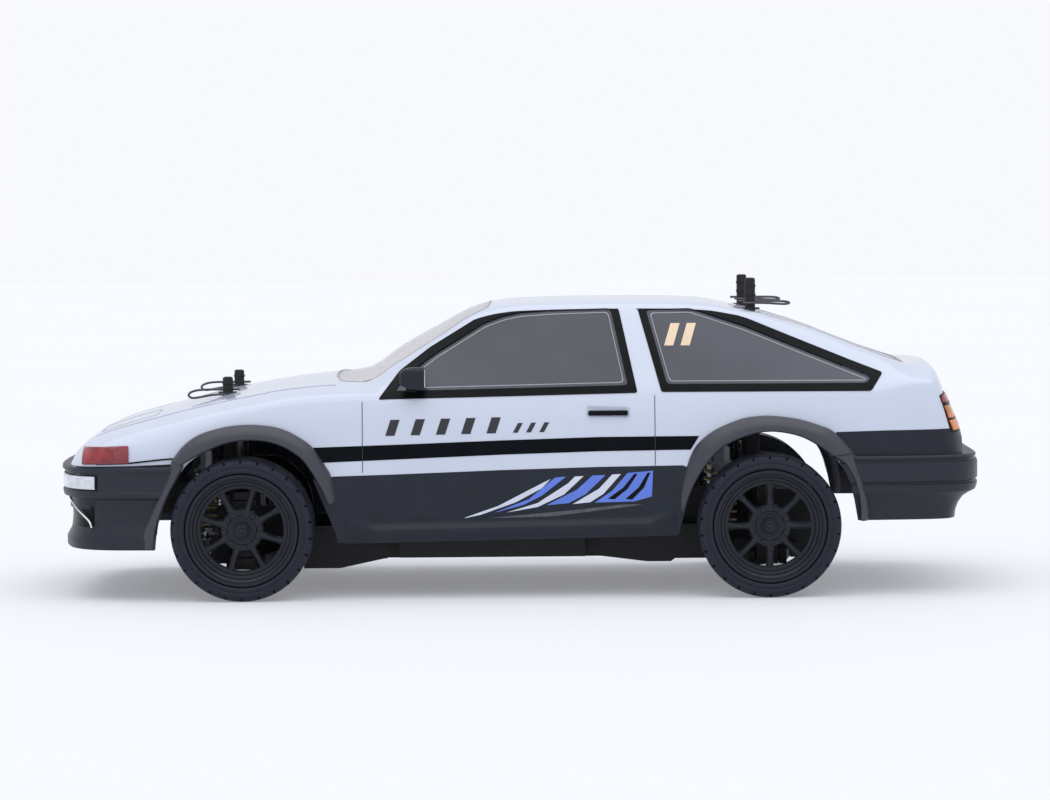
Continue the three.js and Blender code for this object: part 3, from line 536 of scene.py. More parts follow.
def half_section(x):
    """The body's left half at x, as (y, z) points from the skirt's edge up to the middle of the roof."""
    side_y, belt_y, edge_y = side_y_at(x), belt_y_at(x), edge_y_at(x)
    belt_z, edge_z, top_z, skirt_z = belt_z_at(x), edge_z_at(x), top_at(x), straight(SKIRT_Z, x)
    corners = [
        (side_y - 3, skirt_z),
        (side_y - 0.6, max(skirt_z + 2, TUCK_Z)),
        (side_y, max(skirt_z + 4, WAIST_Z)),
        (side_y - 1, belt_z - (belt_z - WAIST_Z) * 0.35),
        (belt_y, belt_z),
        (belt_y + (edge_y - belt_y) * 0.45, belt_z + (edge_z - belt_z) * 0.52),
        (edge_y, edge_z),
        (0, top_z),
    ]
    points = []
    for (y0, z0), (y1, z1), steps in zip(corners, corners[1:], SECTION_STEPS):
        for i in range(steps):
            t = i / steps
            crown = (top_z - edge_z) * (t - t * t) if y1 == 0 else 0.0
            points.append((y0 + (y1 - y0) * t, z0 + (z1 - z0) * t + crown))
    points.append(corners[-1])
    p = np.array(points, float)
    for _ in range(ROUNDING):
        middle = (p[:-2] + 2 * p[1:-1] + p[2:]) / 4
        middle[-1] = p[-2]
        p[1:-1] = middle
    return p


SIDE_POINTS = sum(SECTION_STEPS[:6])
_sections = {}


def section(x):
    key = round(x, 2)
    if key not in _sections:
        _sections[key] = half_section(key)
    return _sections[key]


def flank_y(x, z):
    """The half width of the body at x and height z."""
    p = section(x)[:SIDE_POINTS]
    return float(np.interp(z, p[:, 1], p[:, 0]))


def roof_z(x, y):
    """The height of the body's upper face at x and half width y."""
    p = section(x)[SIDE_POINTS - 6:][::-1]
    return float(np.interp(abs(y), p[:, 0], p[:, 1]))


# ---------------------------------------------------------------- sheets laid on the body
def inside(point, outline):
    x, y = point
    result = False
    for (x0, y0), (x1, y1) in zip(outline, outline[1:] + outline[:1]):
        if (y0 > y) != (y1 > y) and x < (x1 - x0) * (y - y0) / (y1 - y0) + x0:
            result = not result
    return result


def dense(outline, step):
    points = []
    for (x0, y0), (x1, y1) in zip(outline, outline[1:] + outline[:1]):
        parts = max(1, int(math.hypot(x1 - x0, y1 - y0) / step))
        points += [(x0 + (x1 - x0) * i / parts, y0 + (y1 - y0) * i / parts) for i in range(parts)]
    return points


def fill(outline, holes=(), step=2.5):
    """Flat points and triangles that fill an outline, less its holes."""
    loops = [dense(loop, step) for loop in (list(outline), *map(list, holes))]
    points, edges = [], []
    for loop in loops:
        start = len(points)
        points += loop
        edges += [(start + i, start + (i + 1) % len(loop)) for i in range(len(loop))]
    xs, ys = [p[0] for p in outline], [p[1] for p in outline]
    grid = step * 1.3
    border = list(points)
    for i in range(1, int((max(xs) - min(xs)) / grid) + 1):
        for j in range(1, int((max(ys) - min(ys)) / grid) + 1):
            q = (min(xs) + i * grid, min(ys) + j * grid + (i % 2) * grid / 2)
            clear = min((q[0] - p[0]) ** 2 + (q[1] - p[1]) ** 2 for p in border)
            if clear > (grid * 0.5) ** 2 and inside(q, loops[0]):
                points.append(q)
    made = delaunay_2d_cdt([Vector(p) for p in points], edges, [], 0, 1e-5)
    flat, faces = made[0], []
    for face in made[2]:
        middle = (sum(flat[i][0] for i in face) / len(face), sum(flat[i][1] for i in face) / len(face))
        if inside(middle, loops[0]) and not any(inside(middle, hole) for hole in loops[1:]):
            faces.append(tuple(face))
    return [tuple(p) for p in flat], faces


def sheet_on(name, points, faces, point_at, material, lift, deep):
    """A thin solid whose outer face lies lift outside the body and whose inner face deep below it."""
    used = sorted({i for face in faces for i in face})
    index = {old: new for new, old in enumerate(used)}
    n = len(used)
    verts = [point_at(points[i], lift) for i in used] + [point_at(points[i], -deep) for i in used]
    top = [tuple(index[i] for i in face) for face in faces]
    edges = dict.fromkeys(edge for face in top for edge in zip(face, face[1:] + face[:1]))
    walls = [(a, b, b + n, a + n) for a, b in edges if (b, a) not in edges]
    under = [tuple(i + n for i in reversed(face)) for face in top]
    return mesh_object(name, verts, top + under + walls, material, 30)


SLOPE_STEP = 0.25
STEEPEST = 6.0


def slope(height, a, b):
    """How a surface's height changes along its two flat directions at (a, b)."""
    along = (height(a + SLOPE_STEP, b) - height(a - SLOPE_STEP, b)) / (2 * SLOPE_STEP)
    up = (height(a, b + SLOPE_STEP) - height(a, b - SLOPE_STEP)) / (2 * SLOPE_STEP)
    return (min(max(along, -STEEPEST), STEEPEST), min(max(up, -STEEPEST), STEEPEST))


def flank_point(p, lift):
    x, z = p[0], min(p[1], section(p[0])[SIDE_POINTS - 1, 1])
    along, up = slope(flank_y, x, z)
    share = lift / math.sqrt(1 + along ** 2 + up ** 2)
    return (x - along * share, flank_y(x, z) + share, z - up * share)


def roof_point(p, lift):
    x, y = p
    along, aside = slope(roof_z, x, y)
    share = lift / math.sqrt(1 + along ** 2 + aside ** 2)
    return (x - along * share, y - aside * share, roof_z(x, y) + share)


def decal(name, outline, material, lift=0.14, deep=0.3, holes=(), step=2.5):
    points, faces = fill(outline, holes, step)
    return sheet_on(name, points, faces, flank_point, material, lift, deep)


def roof_sheet(name, outline, material, lift=0.14, deep=0.3, holes=(), step=3.0):
    points, faces = fill(outline, holes, step)
    return sheet_on(name, points, faces, roof_point, material, lift, deep)


def both_sides(obj, body="shell", slot=None):
    """Puts a piece of the left side on the body, with its mirror image on the right."""
    other = mirror_copy(obj, obj.name.replace("left", "right"))
    for item in (obj, other):
        place(item, body, slot)
    return obj, other


def place(obj, body, slot=None):
    obj.location.x += DATUM_X * MM
    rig.ride(obj, body)
    if slot:
        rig.slot(obj, slot)
    return obj


def round_loop(outline, radius=3.0, steps=5):
    """A closed outline with each corner rounded off, starting radius away from the corner."""
    out = []
    for i, (x, y) in enumerate(outline):
        ends = []
        for other in (outline[i - 1], outline[(i + 1) % len(outline)]):
            away = math.hypot(other[0] - x, other[1] - y)
            share = min(radius / away, 0.45)
            ends.append((x + (other[0] - x) * share, y + (other[1] - y) * share))
        for k in range(steps + 1):
            t = k / steps
            a, b, c = (1 - t) ** 2, 2 * t * (1 - t), t * t
            out.append((a * ends[0][0] + b * x + c * ends[1][0], a * ends[0][1] + b * y + c * ends[1][1]))
    return out


# ---------------------------------------------------------------- the body shell
FRONT_ARCH = [
    (162.7, 20), (161.3, 34.4), (159.9, 38), (157.6, 44.8), (154.3, 51.5), (151.6, 56), (148.4, 61.8),
    (142.3, 66.6), (131.8, 71.5), (122.7, 73.5), (113.6, 73.4), (104.6, 71.3), (95.6, 65.8),
    (91.1, 59.8), (86.6, 51.6), (82.2, 41.6), (79.6, 28.9), (79.2, 20),
]
REAR_ARCH = [
    (-76.3, 20), (-76.3, 28.7), (-78.2, 35.9), (-81, 46.3), (-85.6, 56.2), (-90.2, 63), (-94.8, 67.9),
    (-101.6, 71.5), (-108.4, 74.1), (-115, 75.5), (-122, 75.4), (-131.1, 73.5), (-138, 70),
    (-144.6, 65.3), (-149.2, 61.4), (-152.8, 55.5), (-154.6, 50.9), (-156.3, 44.1), (-158.1, 34.1),
    (-158.1, 20),
]
DOOR_FRAME = [
    (60.2, 91.1), (50.4, 103.7), (36.6, 114.1), (13.6, 128.1), (4.4, 131.4), (-4.7, 133.2), (-18.5, 134.1),
    (-49.1, 134.9), (-57.9, 93.2),
]
QUARTER_FRAME = [
    (-57.8, 134.2), (-83.5, 134.5), (-109.8, 125.7), (-132.6, 116.3), (-155.4, 107), (-170, 101.3),
    (-164.4, 93.2), (-68.8, 93.5),
]
FRAME_WIDTH = 3.5
WINDSCREEN = [
    (81, 0), (80.4, 30), (77.6, 52), (71, 56.8), (60, 57), (30, 54.6), (14.6, 52), (11, 47), (9.6, 0),
]
HATCH_GLASS = [(-116, 0), (-116.6, 42), (-119, 48), (-150, 53), (-176, 56), (-180.6, 52), (-181.4, 0)]
# Each body post: its corner, x, y, foot, tip, the height of its clip and the clip's direction.
POSTS = [
    ("front_left", 131.7, 35, 58, 100.2, 94.3, 1), ("front_right", 131.7, -35, 58, 100.2, 94.3, 1),
    ("rear_left", -111.7, 35, 62, 144.3, 133.4, -1), ("rear_right", -111.7, -35, 62, 144.3, 133.4, -1),
]
POST_HOLE = 2.9


def inset(outline, by):
    """An anticlockwise or clockwise outline drawn in by a distance."""
    turn = sum(x0 * y1 - x1 * y0 for (x0, y0), (x1, y1) in zip(outline, outline[1:] + outline[:1]))
    way = math.copysign(by, turn)
    out = []
    for i, (x, y) in enumerate(outline):
        normals = []
        for (x0, y0), (x1, y1) in ((outline[i - 1], (x, y)), ((x, y), outline[(i + 1) % len(outline)])):
            length = math.hypot(x1 - x0, y1 - y0)
            normals.append((-(y1 - y0) / length, (x1 - x0) / length))
        (a, b), (c, d) = normals
        share = way / max(1 + a * c + b * d, 0.3)
        out.append((x + (a + c) * share, y + (b + d) * share))
    return out


def across(half):
    """A plan outline given for the left half, closed with its mirror image."""
    return half + [(x, -y) for x, y in reversed(half) if y]


FINE_STEP, COARSE_STEP = 0.7, 2.0
NOSE_BEND_X, TAIL_BEND_X = 190, -182


def stations():
    """The sections' places along the body, closer together where its ends bend in."""
    nose = list(np.arange(NOSE_X, NOSE_BEND_X, -FINE_STEP))
    middle = list(np.arange(NOSE_BEND_X, TAIL_BEND_X, -COARSE_STEP))
    return nose + middle + list(np.arange(TAIL_BEND_X, TAIL_X, -FINE_STEP)) + [TAIL_X]


# The dark paint reaches SIDE_PAINT_Z high ahead of TAIL_PAINT_X, and TAIL_PAINT_Z behind it.
SIDE_PAINT_Z, TAIL_PAINT_Z, TAIL_PAINT_X = 54.0, 74.4, -150


def slice_level(obj, height):
    """Splits a mesh's faces along a level plane, so that two paints can meet on it."""
    mesh = bmesh.new()
    mesh.from_mesh(obj.data)
    everything = mesh.verts[:] + mesh.edges[:] + mesh.faces[:]
    bmesh.ops.bisect_plane(mesh, geom=everything, plane_co=(0, 0, height * MM), plane_no=(0, 0, 1))
    mesh.to_mesh(obj.data)
    mesh.free()


def shell_skin():
    """The closed skin of the body, with its wall's thickness given inwards."""
    rings = []
    for x in stations():
        left = [(x, y, z) for y, z in section(x)]
        rings.append(left + [(px, -y, z) for px, y, z in reversed(left[:-1])])
    n = len(rings[0])
    verts = [p for ring in rings for p in ring]
    faces = []
    for i in range(len(rings) - 1):
        for j in range(n - 1):
            a, b = i * n + j, (i + 1) * n + j
            faces.append((a, a + 1, b + 1, b))
    faces += [tuple(range(n)), tuple(range((len(rings) - 1) * n, len(rings) * n))]
    shell = mesh_object("shell_body", verts, faces, WHITE)
    highest = max(shell.data.polygons, key=lambda face: face.center.z)
    if highest.normal.z < 0:
        shell.data.flip_normals()
    thick = shell.modifiers.new("wall", "SOLIDIFY")
    thick.thickness = SHELL_WALL * MM
    thick.offset = -1
    return bake(shell)


def shell_cutters():
    cutters = []
    for arch in (FRONT_ARCH, REAR_ARCH):
        outline = [(p.x, p.y) for p in smooth_path([(x, z, 0) for x, z in arch], 2)]
        cutters += side_cutters(outline, ARCH_DEPTH)
    for edge in (DOOR_FRAME, QUARTER_FRAME):
        cutters += side_cutters(round_loop(inset(edge, FRAME_WIDTH), 2), WINDOW_DEPTH)
    for glass in (WINDSCREEN, HATCH_GLASS):
        cutters.append(upright("screen", round_loop(across(glass)), 86, 150, PLAIN))
    for _, x, y, *_ in POSTS:
        cutters.append(rod("hole", (x, y, 80), (x, y, 150), POST_HOLE, PLAIN))
    return join("cutters", cutters)


def build_shell():
    shell = cut(shell_skin(), [shell_cutters()])
    for height in (SIDE_PAINT_Z, TAIL_PAINT_Z):
        slice_level(shell, height)
    shell.data.materials.clear()
    for material in (WHITE, LOWER):
        shell.data.materials.append(material)
    for face in shell.data.polygons:
        x, _, z = (c / MM for c in face.center)
        face.material_index = 1 if z < (SIDE_PAINT_Z if x > TAIL_PAINT_X else TAIL_PAINT_Z) else 0
    smooth_by(shell.data, 32)
    place(shell, "shell", "shell_white")
    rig.replaces(shell, "body_shell")


STRIPE = [
    (89.7, 69.7), (50.2, 70.8), (4.8, 72.3), (-40.6, 73.5), (-85.7, 73.6), (-81.8, 67.4), (-40.5, 67),
    (4.9, 65.8), (50.3, 64.1), (86.2, 62.8),
]
LOWER_PAINT = [
    (80.6, 56.5), (50.4, 57.3), (5, 58.8), (-40.4, 59.9), (-78.1, 60.3), (-84, 58), (-76.3, 29.4),
    (78.6, 26.6), (90, 55),
]
REAR_BAND = [
    (-148, 74.8), (-170, 75.3), (-200.4, 75.6), (-204.6, 75.2), (-207.1, 74), (-207.1, 64), (-146, 62),
]
FRONT_BAND = [(153, 62.8), (157, 62.6), (172, 62), (200.8, 61.6), (203.2, 61.2), (203.2, 56), (155, 56)]
SLASHES = [
    ([(22.8, 36.6), (14, 38.4), (-2, 44), (-14, 50.4), (-18, 54.6), (-8, 49.6), (6, 42.4)], SLASH_WHITE),
    ([(8, 39.2), (-8, 45.4), (-20, 55.2), (-25, 55.6), (-14, 47), (-6, 43)], BLUE),
    ([(2, 39.4), (-12, 43.6), (-26, 52.6), (-29, 55.6), (-33, 55.8), (-24, 47.4), (-12, 41.8)], SLASH_WHITE),
    ([(-16, 42.6), (-30, 49.6), (-37, 56), (-43, 56.2), (-34, 47.6), (-26, 43.4)], BLUE),
    ([(-28, 43), (-40, 50), (-46, 56.4), (-50, 56.6), (-42, 47.6), (-36, 43.8)], SLASH_WHITE),
    ([(-38, 43.6), (-46, 49), (-53, 57), (-64.6, 58), (-64, 46.2), (-56, 44)], BLUE),
    ([(-44, 45.4), (-51, 50.4), (-56, 56.6), (-57.6, 56.7), (-53, 49.8), (-47, 45)], FRAME_BLACK),
    ([(-52, 45.2), (-58, 50.4), (-62, 57), (-63.4, 57.2), (-60.4, 50.2), (-55, 44.8)], FRAME_BLACK),
    ([(24, 35.8), (-10, 38.6), (-30, 40.4), (-50, 42.6), (-60, 42.6), (-50, 41.2), (-20, 37.6)], SLASH_GREY),
]
# Slanted marks along the door: x, width and height of each, and the height and fall of their row.
MARKS = [*((57 - 11.5 * i, 4.2, 7.2) for i in range(5)), *((-1 - 6 * i, 2.2, 4.4) for i in range(3))]
MARKS_Z, MARKS_FALL = 74.8, 0.016
MARK_SLANT = 2.4
DOOR_FRONT_X = 67.3
DOOR_REAR_X = -65.8
LINE_WIDTH = 0.28


def door_line(name, x, low, high):
    line = [(x, low), (x + LINE_WIDTH, low), (x + LINE_WIDTH, high), (x, high)]
    return decal(name, line, DARK_LINE, 0.2, step=2)


def build_paint():
    both_sides(decal("stripe_left", STRIPE, BLACK, 0.16), slot="shell_white")
    both_sides(decal("lower_paint_left", LOWER_PAINT, LOWER, 0.12), slot="bumper_grey")
    both_sides(decal("rear_band_left", REAR_BAND, LOWER, 0.14, step=1.6), slot="bumper_grey")
    both_sides(decal("front_band_left", FRONT_BAND, LOWER, 0.12, step=1.6), slot="bumper_grey")
    for i, (outline, material) in enumerate(SLASHES):
        both_sides(decal(f"slash_{i}_left", outline, material, 0.2 + 0.04 * (i // 3), step=1.8))
    for i, (x, wide, high) in enumerate(MARKS):
        low = MARKS_Z + (MARKS[0][0] - x) * MARKS_FALL
        high += low
        bar = [(x, low), (x - wide, low), (x - wide - MARK_SLANT, high), (x - MARK_SLANT, high)]
        both_sides(decal(f"door_mark_{i}_left", bar, DARK_LINE, 0.16, step=1.8))
    for i in range(2):
        x = -70.5 - 7.5 * i
        bar = [(x, 114.5), (x - 4.2, 114.5), (x - 7.4, 124.5), (x - 3.2, 124.5)]
        both_sides(decal(f"window_mark_{i}_left", bar, BEIGE, -0.4, 0.7, step=1.8))
    both_sides(door_line("door_line_front_left", DOOR_FRONT_X, 58.2, 90.2))
    both_sides(door_line("door_line_rear_left", DOOR_REAR_X, 60.4, 92))


# Gap and width of the line of painted highlight inside each side window's frame.
GLINT_GAP, GLINT_WIDTH = 1.4, 0.35
SCREEN_SEAL_X, SCREEN_SEAL_Y = 1.03, 1.012


def build_windows():
    """Side windows with their frames and their lines of painted highlight, then the windscreen and the hatch's glass.
    """
    for name, edge in (("door", DOOR_FRAME), ("quarter", QUARTER_FRAME)):
        outer, inner = round_loop(edge, 1.2), round_loop(inset(edge, FRAME_WIDTH), 2)
        both_sides(decal(f"{name}_frame_left", outer, FRAME_BLACK, 0.35, 0.2, [inner], 2))
        both_sides(decal(f"{name}_glass_left", inner, GLASS, -0.5, 0.9, step=4))
        # A thin light grey line just inside the frame: painted highlight along the glass's edge.
        line = round_loop(inset(edge, FRAME_WIDTH + GLINT_GAP), 2)
        within = round_loop(inset(edge, FRAME_WIDTH + GLINT_GAP + GLINT_WIDTH), 2)
        both_sides(decal(f"{name}_seal_left", line, SEAL_AND_GLINT_LINE, -0.44, 0.7, [within], 2))
    for name, half in (("windscreen", WINDSCREEN), ("hatch_glass", HATCH_GLASS)):
        outline = round_loop(across(half))
        # The glass takes the pale colour of painted reflection.
        place(roof_sheet(name, outline, SCREEN_SHEEN, -0.3, 0.9, step=4), "shell")
        centre = sum(p[0] for p in outline) / len(outline)
        seal = [(centre + (x - centre) * SCREEN_SEAL_X, y * SCREEN_SEAL_Y) for x, y in outline]
        place(roof_sheet(f"{name}_seal", seal, SEAL_AND_GLINT_LINE, 0.12, 0.3, [outline], 3), "shell")


build_shell()
build_paint()
build_windows()


# ---------------------------------------------------------------- sill, bumpers, flares
SILL_FRONT_X, SILL_REAR_X = 76.5, -75.5
SILL_SWELL = [(76.5, 0.0), (72, 0.75), (66, 1.0), (0, 1.0), (-66, 1.0), (-71, 0.8), (-75.5, 0.0)]
SILL_HEIGHT = 10.5
# The sill's section: height above its lower edge, and how far it stands out.
SILL_PROFILE = [
    (SILL_HEIGHT, 0.15), (9, 0.3), (7.4, 1.3), (5.8, 2.5), (4.2, 2.7), (2.4, 2.3), (0.6, 1.2), (0, 0.5),
]
SILL_FLANK_Z = 27.4
# The sill grows taller from CLIMB_X outwards at both ends.
CLIMB_X, FRONT_CLIMB, REAR_CLIMB = 63, 1.3, 0.9


def build_sills():
    """A moulded side skirt along each sill, drawn in to nothing at both ends."""
    rings = []
    for x in np.linspace(SILL_FRONT_X, SILL_REAR_X, 77):
        swell = straight(SILL_SWELL, x)
        low = straight(SKIRT_Z, x) - 0.4
        climb = 1 + FRONT_CLIMB * max(0, (x - CLIMB_X) / (SILL_FRONT_X - CLIMB_X))
        climb += REAR_CLIMB * max(0, (-CLIMB_X - x) / (-CLIMB_X - SILL_REAR_X))
        outer = []
        for height, d in SILL_PROFILE:
            z = low + height * climb
            outer.append((x, flank_y(x, max(z, SILL_FLANK_Z)) + 0.1 + d * swell, z))
        inner = [(x, flank_y(x, max(z, SILL_FLANK_Z)) - 0.8, z) for z in (low, low + SILL_HEIGHT * climb)]
        rings.append([tuple(p) for p in smooth_path(outer, 2)] + inner)
    both_sides(loft("sill_skirt_left", rings, LOWER, 40), slot="bumper_grey")


NOSE_PATH = [
    (204.2, 0), (203.6, 34), (201, 54), (197, 66), (191, 73.6), (183, 77.6), (170, 79), (150, 80),
]
TAIL_PATH = [
    (-210, 0), (-209.8, 46), (-208.6, 60), (-205.2, 69.4), (-198, 75.2), (-184, 77.8), (-165, 79.2),
    (-145, 80),
]
NOSE_PROFILE = [
    (-3, 61.2), (3, 61.4), (6, 60.8), (6.2, 59.4), (5, 58.6), (5.2, 50.4), (6, 49.4), (5.6, 47.4),
    (2.2, 46.4), (1.0, 44), (0.7, 38.5), (0.8, 35), (1.6, 34), (2.6, 30.5), (4.2, 27.6), (4.2, 24.2),
    (3.6, 23.6), (-3, 23.6),
]
TAIL_PROFILE = [
    (-4, 63.8), (4.6, 63.8), (5.4, 63.2), (5.4, 62.3), (4.5, 61.8), (4.5, 61), (5.9, 60.6), (6.2, 59.6),
    (6.2, 52.4), (4.8, 51.4), (4.8, 50.8), (6.1, 50.4), (6.0, 49.2), (5.2, 47), (2.6, 45.8), (-0.6, 44),
    (-3, 41), (-4.4, 37.6), (-4.8, 34.3), (-8, 34.3), (-6, 44),
]
SIDE_SLIMMING = 0.45
BUMPER_WALL_STEPS = 70


def even_path(points, count):
    pts = [Vector(p) for p in points]
    reach = [0.0]
    for a, b in zip(pts, pts[1:]):
        reach.append(reach[-1] + (b - a).length)
    out = []
    for i in range(count):
        want = reach[-1] * i / (count - 1)
        k = max(j for j in range(len(reach) - 1) if reach[j] <= want + 1e-9)
        t = (want - reach[k]) / max(reach[k + 1] - reach[k], 1e-9)
        out.append(pts[k].lerp(pts[k + 1], min(t, 1.0)))
    return out


def carried(points, profile, front):
    """Rings of a profile, whose rows are (distance out, height), carried along a level path."""
    rings = []
    for i, p in enumerate(points):
        along = heading(points, i)
        out = Vector((along.y, -along.x, 0)) * (1 if front else -1)
        slim = 1 - SIDE_SLIMMING * abs(out.y)
        rings.append([(p.x + out.x * d * slim, p.y + out.y * d * slim, z) for d, z in profile])
    return rings


def build_bumper(name, path, profile, arch, node):
    half = smooth_path([(x, y, 0) for x, y in path], 3)
    whole = [Vector((p.x, -p.y, 0)) for p in reversed(half[1:])] + half
    front = path[0][0] > 0
    rings = carried(even_path(whole, 2 * BUMPER_WALL_STEPS + 1), profile, front)
    body = loft(name, rings, BUMPER, 30)
    cutters = side_cutters(arch, ARCH_DEPTH)
    if front:
        cutters.append(box("intake", (190, -47, 30), (215, 47, 43.6), PLAIN))
    cut(body, [join("cutters", cutters)])
    bevel(body, 0.5, 2, 30, 40)
    place(body, "shell", "bumper_grey")
    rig.replaces(body, node)


# The flares' inner edges follow the arches.
FRONT_FLARE_LIP = [(150, 62.2), *FRONT_ARCH[7:15], (83, 43.5)]
FRONT_FLARE_RIM = [
    (154, 64.6), (149.7, 70.3), (145.1, 74.1), (140.6, 76.6), (131.5, 79.2), (122.4, 80.4),
    (113.4, 80.2), (104.3, 78.7), (95.3, 74.1), (89.5, 69.5), (85.9, 63.6), (81, 56.3), (79.5, 45),
]
REAR_FLARE_LIP = [(-78.2, 37), (-81, 46.3), (-85, 55), *REAR_ARCH[5:14], (-146, 64.2)]
REAR_FLARE_RIM = [
    (-75, 37), (-76.4, 47.5), (-78.6, 57), (-82.5, 66.7), (-85.7, 70.8), (-90.3, 74.6), (-94.8, 77.2),
    (-103.9, 80.9), (-108.4, 81.9), (-117.5, 82.7), (-131, 81), (-140.1, 78), (-146.4, 75.7),
    (-153.6, 68.4), (-156, 65.4),
]
FLARE_BASE_Y = 74.5
FLARE_STEPS, LEG_STEPS = 72, 32
FLARE_SECTION = [
    (0.0, 75.0), (0.0, 83.6), (0.03, 84.6), (0.1, 85.3), (0.22, 85.5), (0.42, 85.2), (0.62, 84.5),
    (0.8, 83.4), (0.93, 82.0), (1.0, 80.9), (1.02, 79.0), (1.0, 74.5),
]
FRONT_LEG_IN = [
    (148.6, 62), (151.8, 56), (154.4, 51.5), (157.7, 44.8), (160, 38), (161.4, 34.4), (162.8, 24),
]
FRONT_LEG_OUT = [
    (154, 64.6), (156.8, 56.1), (160, 49.3), (163.2, 42.6), (166, 35.8), (168.6, 30.4), (169.4, 24),
]
REAR_LEG_IN = [
    (-146, 64.2), (-151.2, 61.6), (-153.6, 58), (-156.2, 53.4), (-157.9, 46.6), (-158.8, 39.8),
    (-158.7, 34.4),
]
REAR_LEG_OUT = [
    (-156, 65.4), (-158.2, 60.2), (-160.4, 53.4), (-161.8, 46.6), (-162.6, 42.1), (-162.8, 38),
    (-162.6, 34.4),
]


def flare_rings(lip_path, rim_path, steps, fade):
    lip = even_path(smooth_path([(x, z, 0) for x, z in lip_path], 2), steps)
    rim = even_path(smooth_path([(x, z, 0) for x, z in rim_path], 2), steps)
    rings = []
    for i, (a, b) in enumerate(zip(lip, rim)):
        share = i / (steps - 1)
        out = fade(share)
        ring = []
        for t, y in FLARE_SECTION:
            y = FLARE_BASE_Y + (y - FLARE_BASE_Y) * out
            ring.append((a.x + (b.x - a.x) * t, y, a.y + (b.y - a.y) * t))
        rings.append(ring)
    return rings


def front_fade(share):
    return min(1.0, 0.62 + (1 - share) * 2.2)


def rear_fade(share):
    return min(1.0, 0.3 + share * 2.2)


def flare_pair(flare):
    return both_sides(bevel(flare, 0.4, 2, 40, 50), slot="flare_grey")


def build_flares():
    front = flare_rings(FRONT_FLARE_LIP, FRONT_FLARE_RIM, FLARE_STEPS, front_fade)
    rear = flare_rings(REAR_FLARE_LIP, REAR_FLARE_RIM, FLARE_STEPS, rear_fade)
    flares = {
        "front": loft("front_flare_left", front, FLARE, 40),
        "rear": loft("rear_flare_left", rear, FLARE, 40),
    }
    for end, flare in flares.items():
        for item, side in zip(flare_pair(flare), ("left", "right")):
            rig.replaces(item, f"{end}_flare_{side}")
    front = flare_rings(FRONT_LEG_IN, FRONT_LEG_OUT, LEG_STEPS, lambda share: 0.97 - 0.28 * share)
    rear = flare_rings(REAR_LEG_IN, REAR_LEG_OUT, LEG_STEPS, lambda share: 0.92 - 0.2 * share)
    for end, rings in (("front", front), ("rear", rear)):
        flare_pair(loft(f"{end}_flare_leg_left", rings, FLARE, 40))


# ---------------------------------------------------------------- wheels: profiles are (radius, y) rows
NOTCHES = 26
SPOKES = 8
TYRE_PROFILE = [
    (26.0, 60.8), (27.4, 60.2), (30.2, 60.1), (31.6, 60.7), (32.3, 61.8), (32.5, 63.2), (32.5, 67.9),
    (31.9, 68.0), (31.9, 68.8), (32.5, 68.9), (32.5, 72.5), (31.9, 72.6), (31.9, 73.4), (32.5, 73.5),
    (32.5, 77.1), (31.9, 77.2), (31.9, 78.0), (32.5, 78.1), (32.5, 82.8), (32.3, 84.2), (31.7, 85.2),
    (30.6, 85.8), (29.2, 86.0), (28.8, 85.7), (28.2, 85.7), (27.8, 86.0), (26.8, 85.9), (26.2, 85.4),
    (26.0, 84.6),
]
RIM_PROFILE = [
    (25.6, 61.0), (25.7, 61.6), (25.7, 84.8), (25.5, 85.3), (24.9, 85.5), (24.0, 85.3), (23.6, 84.4),
    (22.6, 83.9), (22.2, 83.2), (22.0, 82.4), (20.9, 82.0), (20.6, 81.2), (20.4, 80.6), (19.0, 80.3),
    (18.7, 79.8), (18.7, 77.6), (19.4, 77.2), (23.4, 76.6), (23.8, 75.8), (24.2, 61.6), (24.6, 61.0),
]
HUB_PROFILE = [
    (2.6, 74.2), (7.2, 74.2), (8.2, 75), (9.8, 77), (9.9, 80.0), (9.4, 80.7), (6.8, 81.1), (6.4, 81.6),
    (5.8, 81.7), (5.2, 81.4), (2.6, 81.4),
]


# A spoke's places along its radius: radius, half width and the height of its middle.
SPOKE_STATIONS = [
    (8.2, 1.75, 80.9), (9.6, 1.7, 81.2), (12, 1.45, 81.3), (15.6, 1.4, 81.2), (17.6, 1.6, 80.9),
    (19.4, 2.2, 80.4),
]
SPOKE_BACK_Y = 77.4
# A spoke's section: share of the half width, and how far it lies under the middle.
SPOKE_SECTION = [(-1, 1.3), (-0.85, 0.6), (-0.5, 0.1), (0, 0), (0.5, 0.1), (0.85, 0.6), (1, 1.3)]
LUG_CIRCLE = 8.0


def spoke(angle, centre):
    """A rounded bar from the hub to the rim, with a raised middle."""
    cx, cz = centre
    out = Vector((math.sin(angle), 0, math.cos(angle)))
    side = Vector((math.cos(angle), 0, -math.sin(angle)))
    rings = []
    for r, half, top in SPOKE_STATIONS:
        middle = Vector((cx, 0, cz)) + out * r
        ring = []
        crown = [(w, top - under) for w, under in SPOKE_SECTION]
        for w, y in ((-1, SPOKE_BACK_Y), *crown, (1, SPOKE_BACK_Y)):
            p = middle + side * (half * w)
            ring.append((p.x, y, p.z))
        rings.append(ring)
    return loft("spoke", rings, RIM, 45)


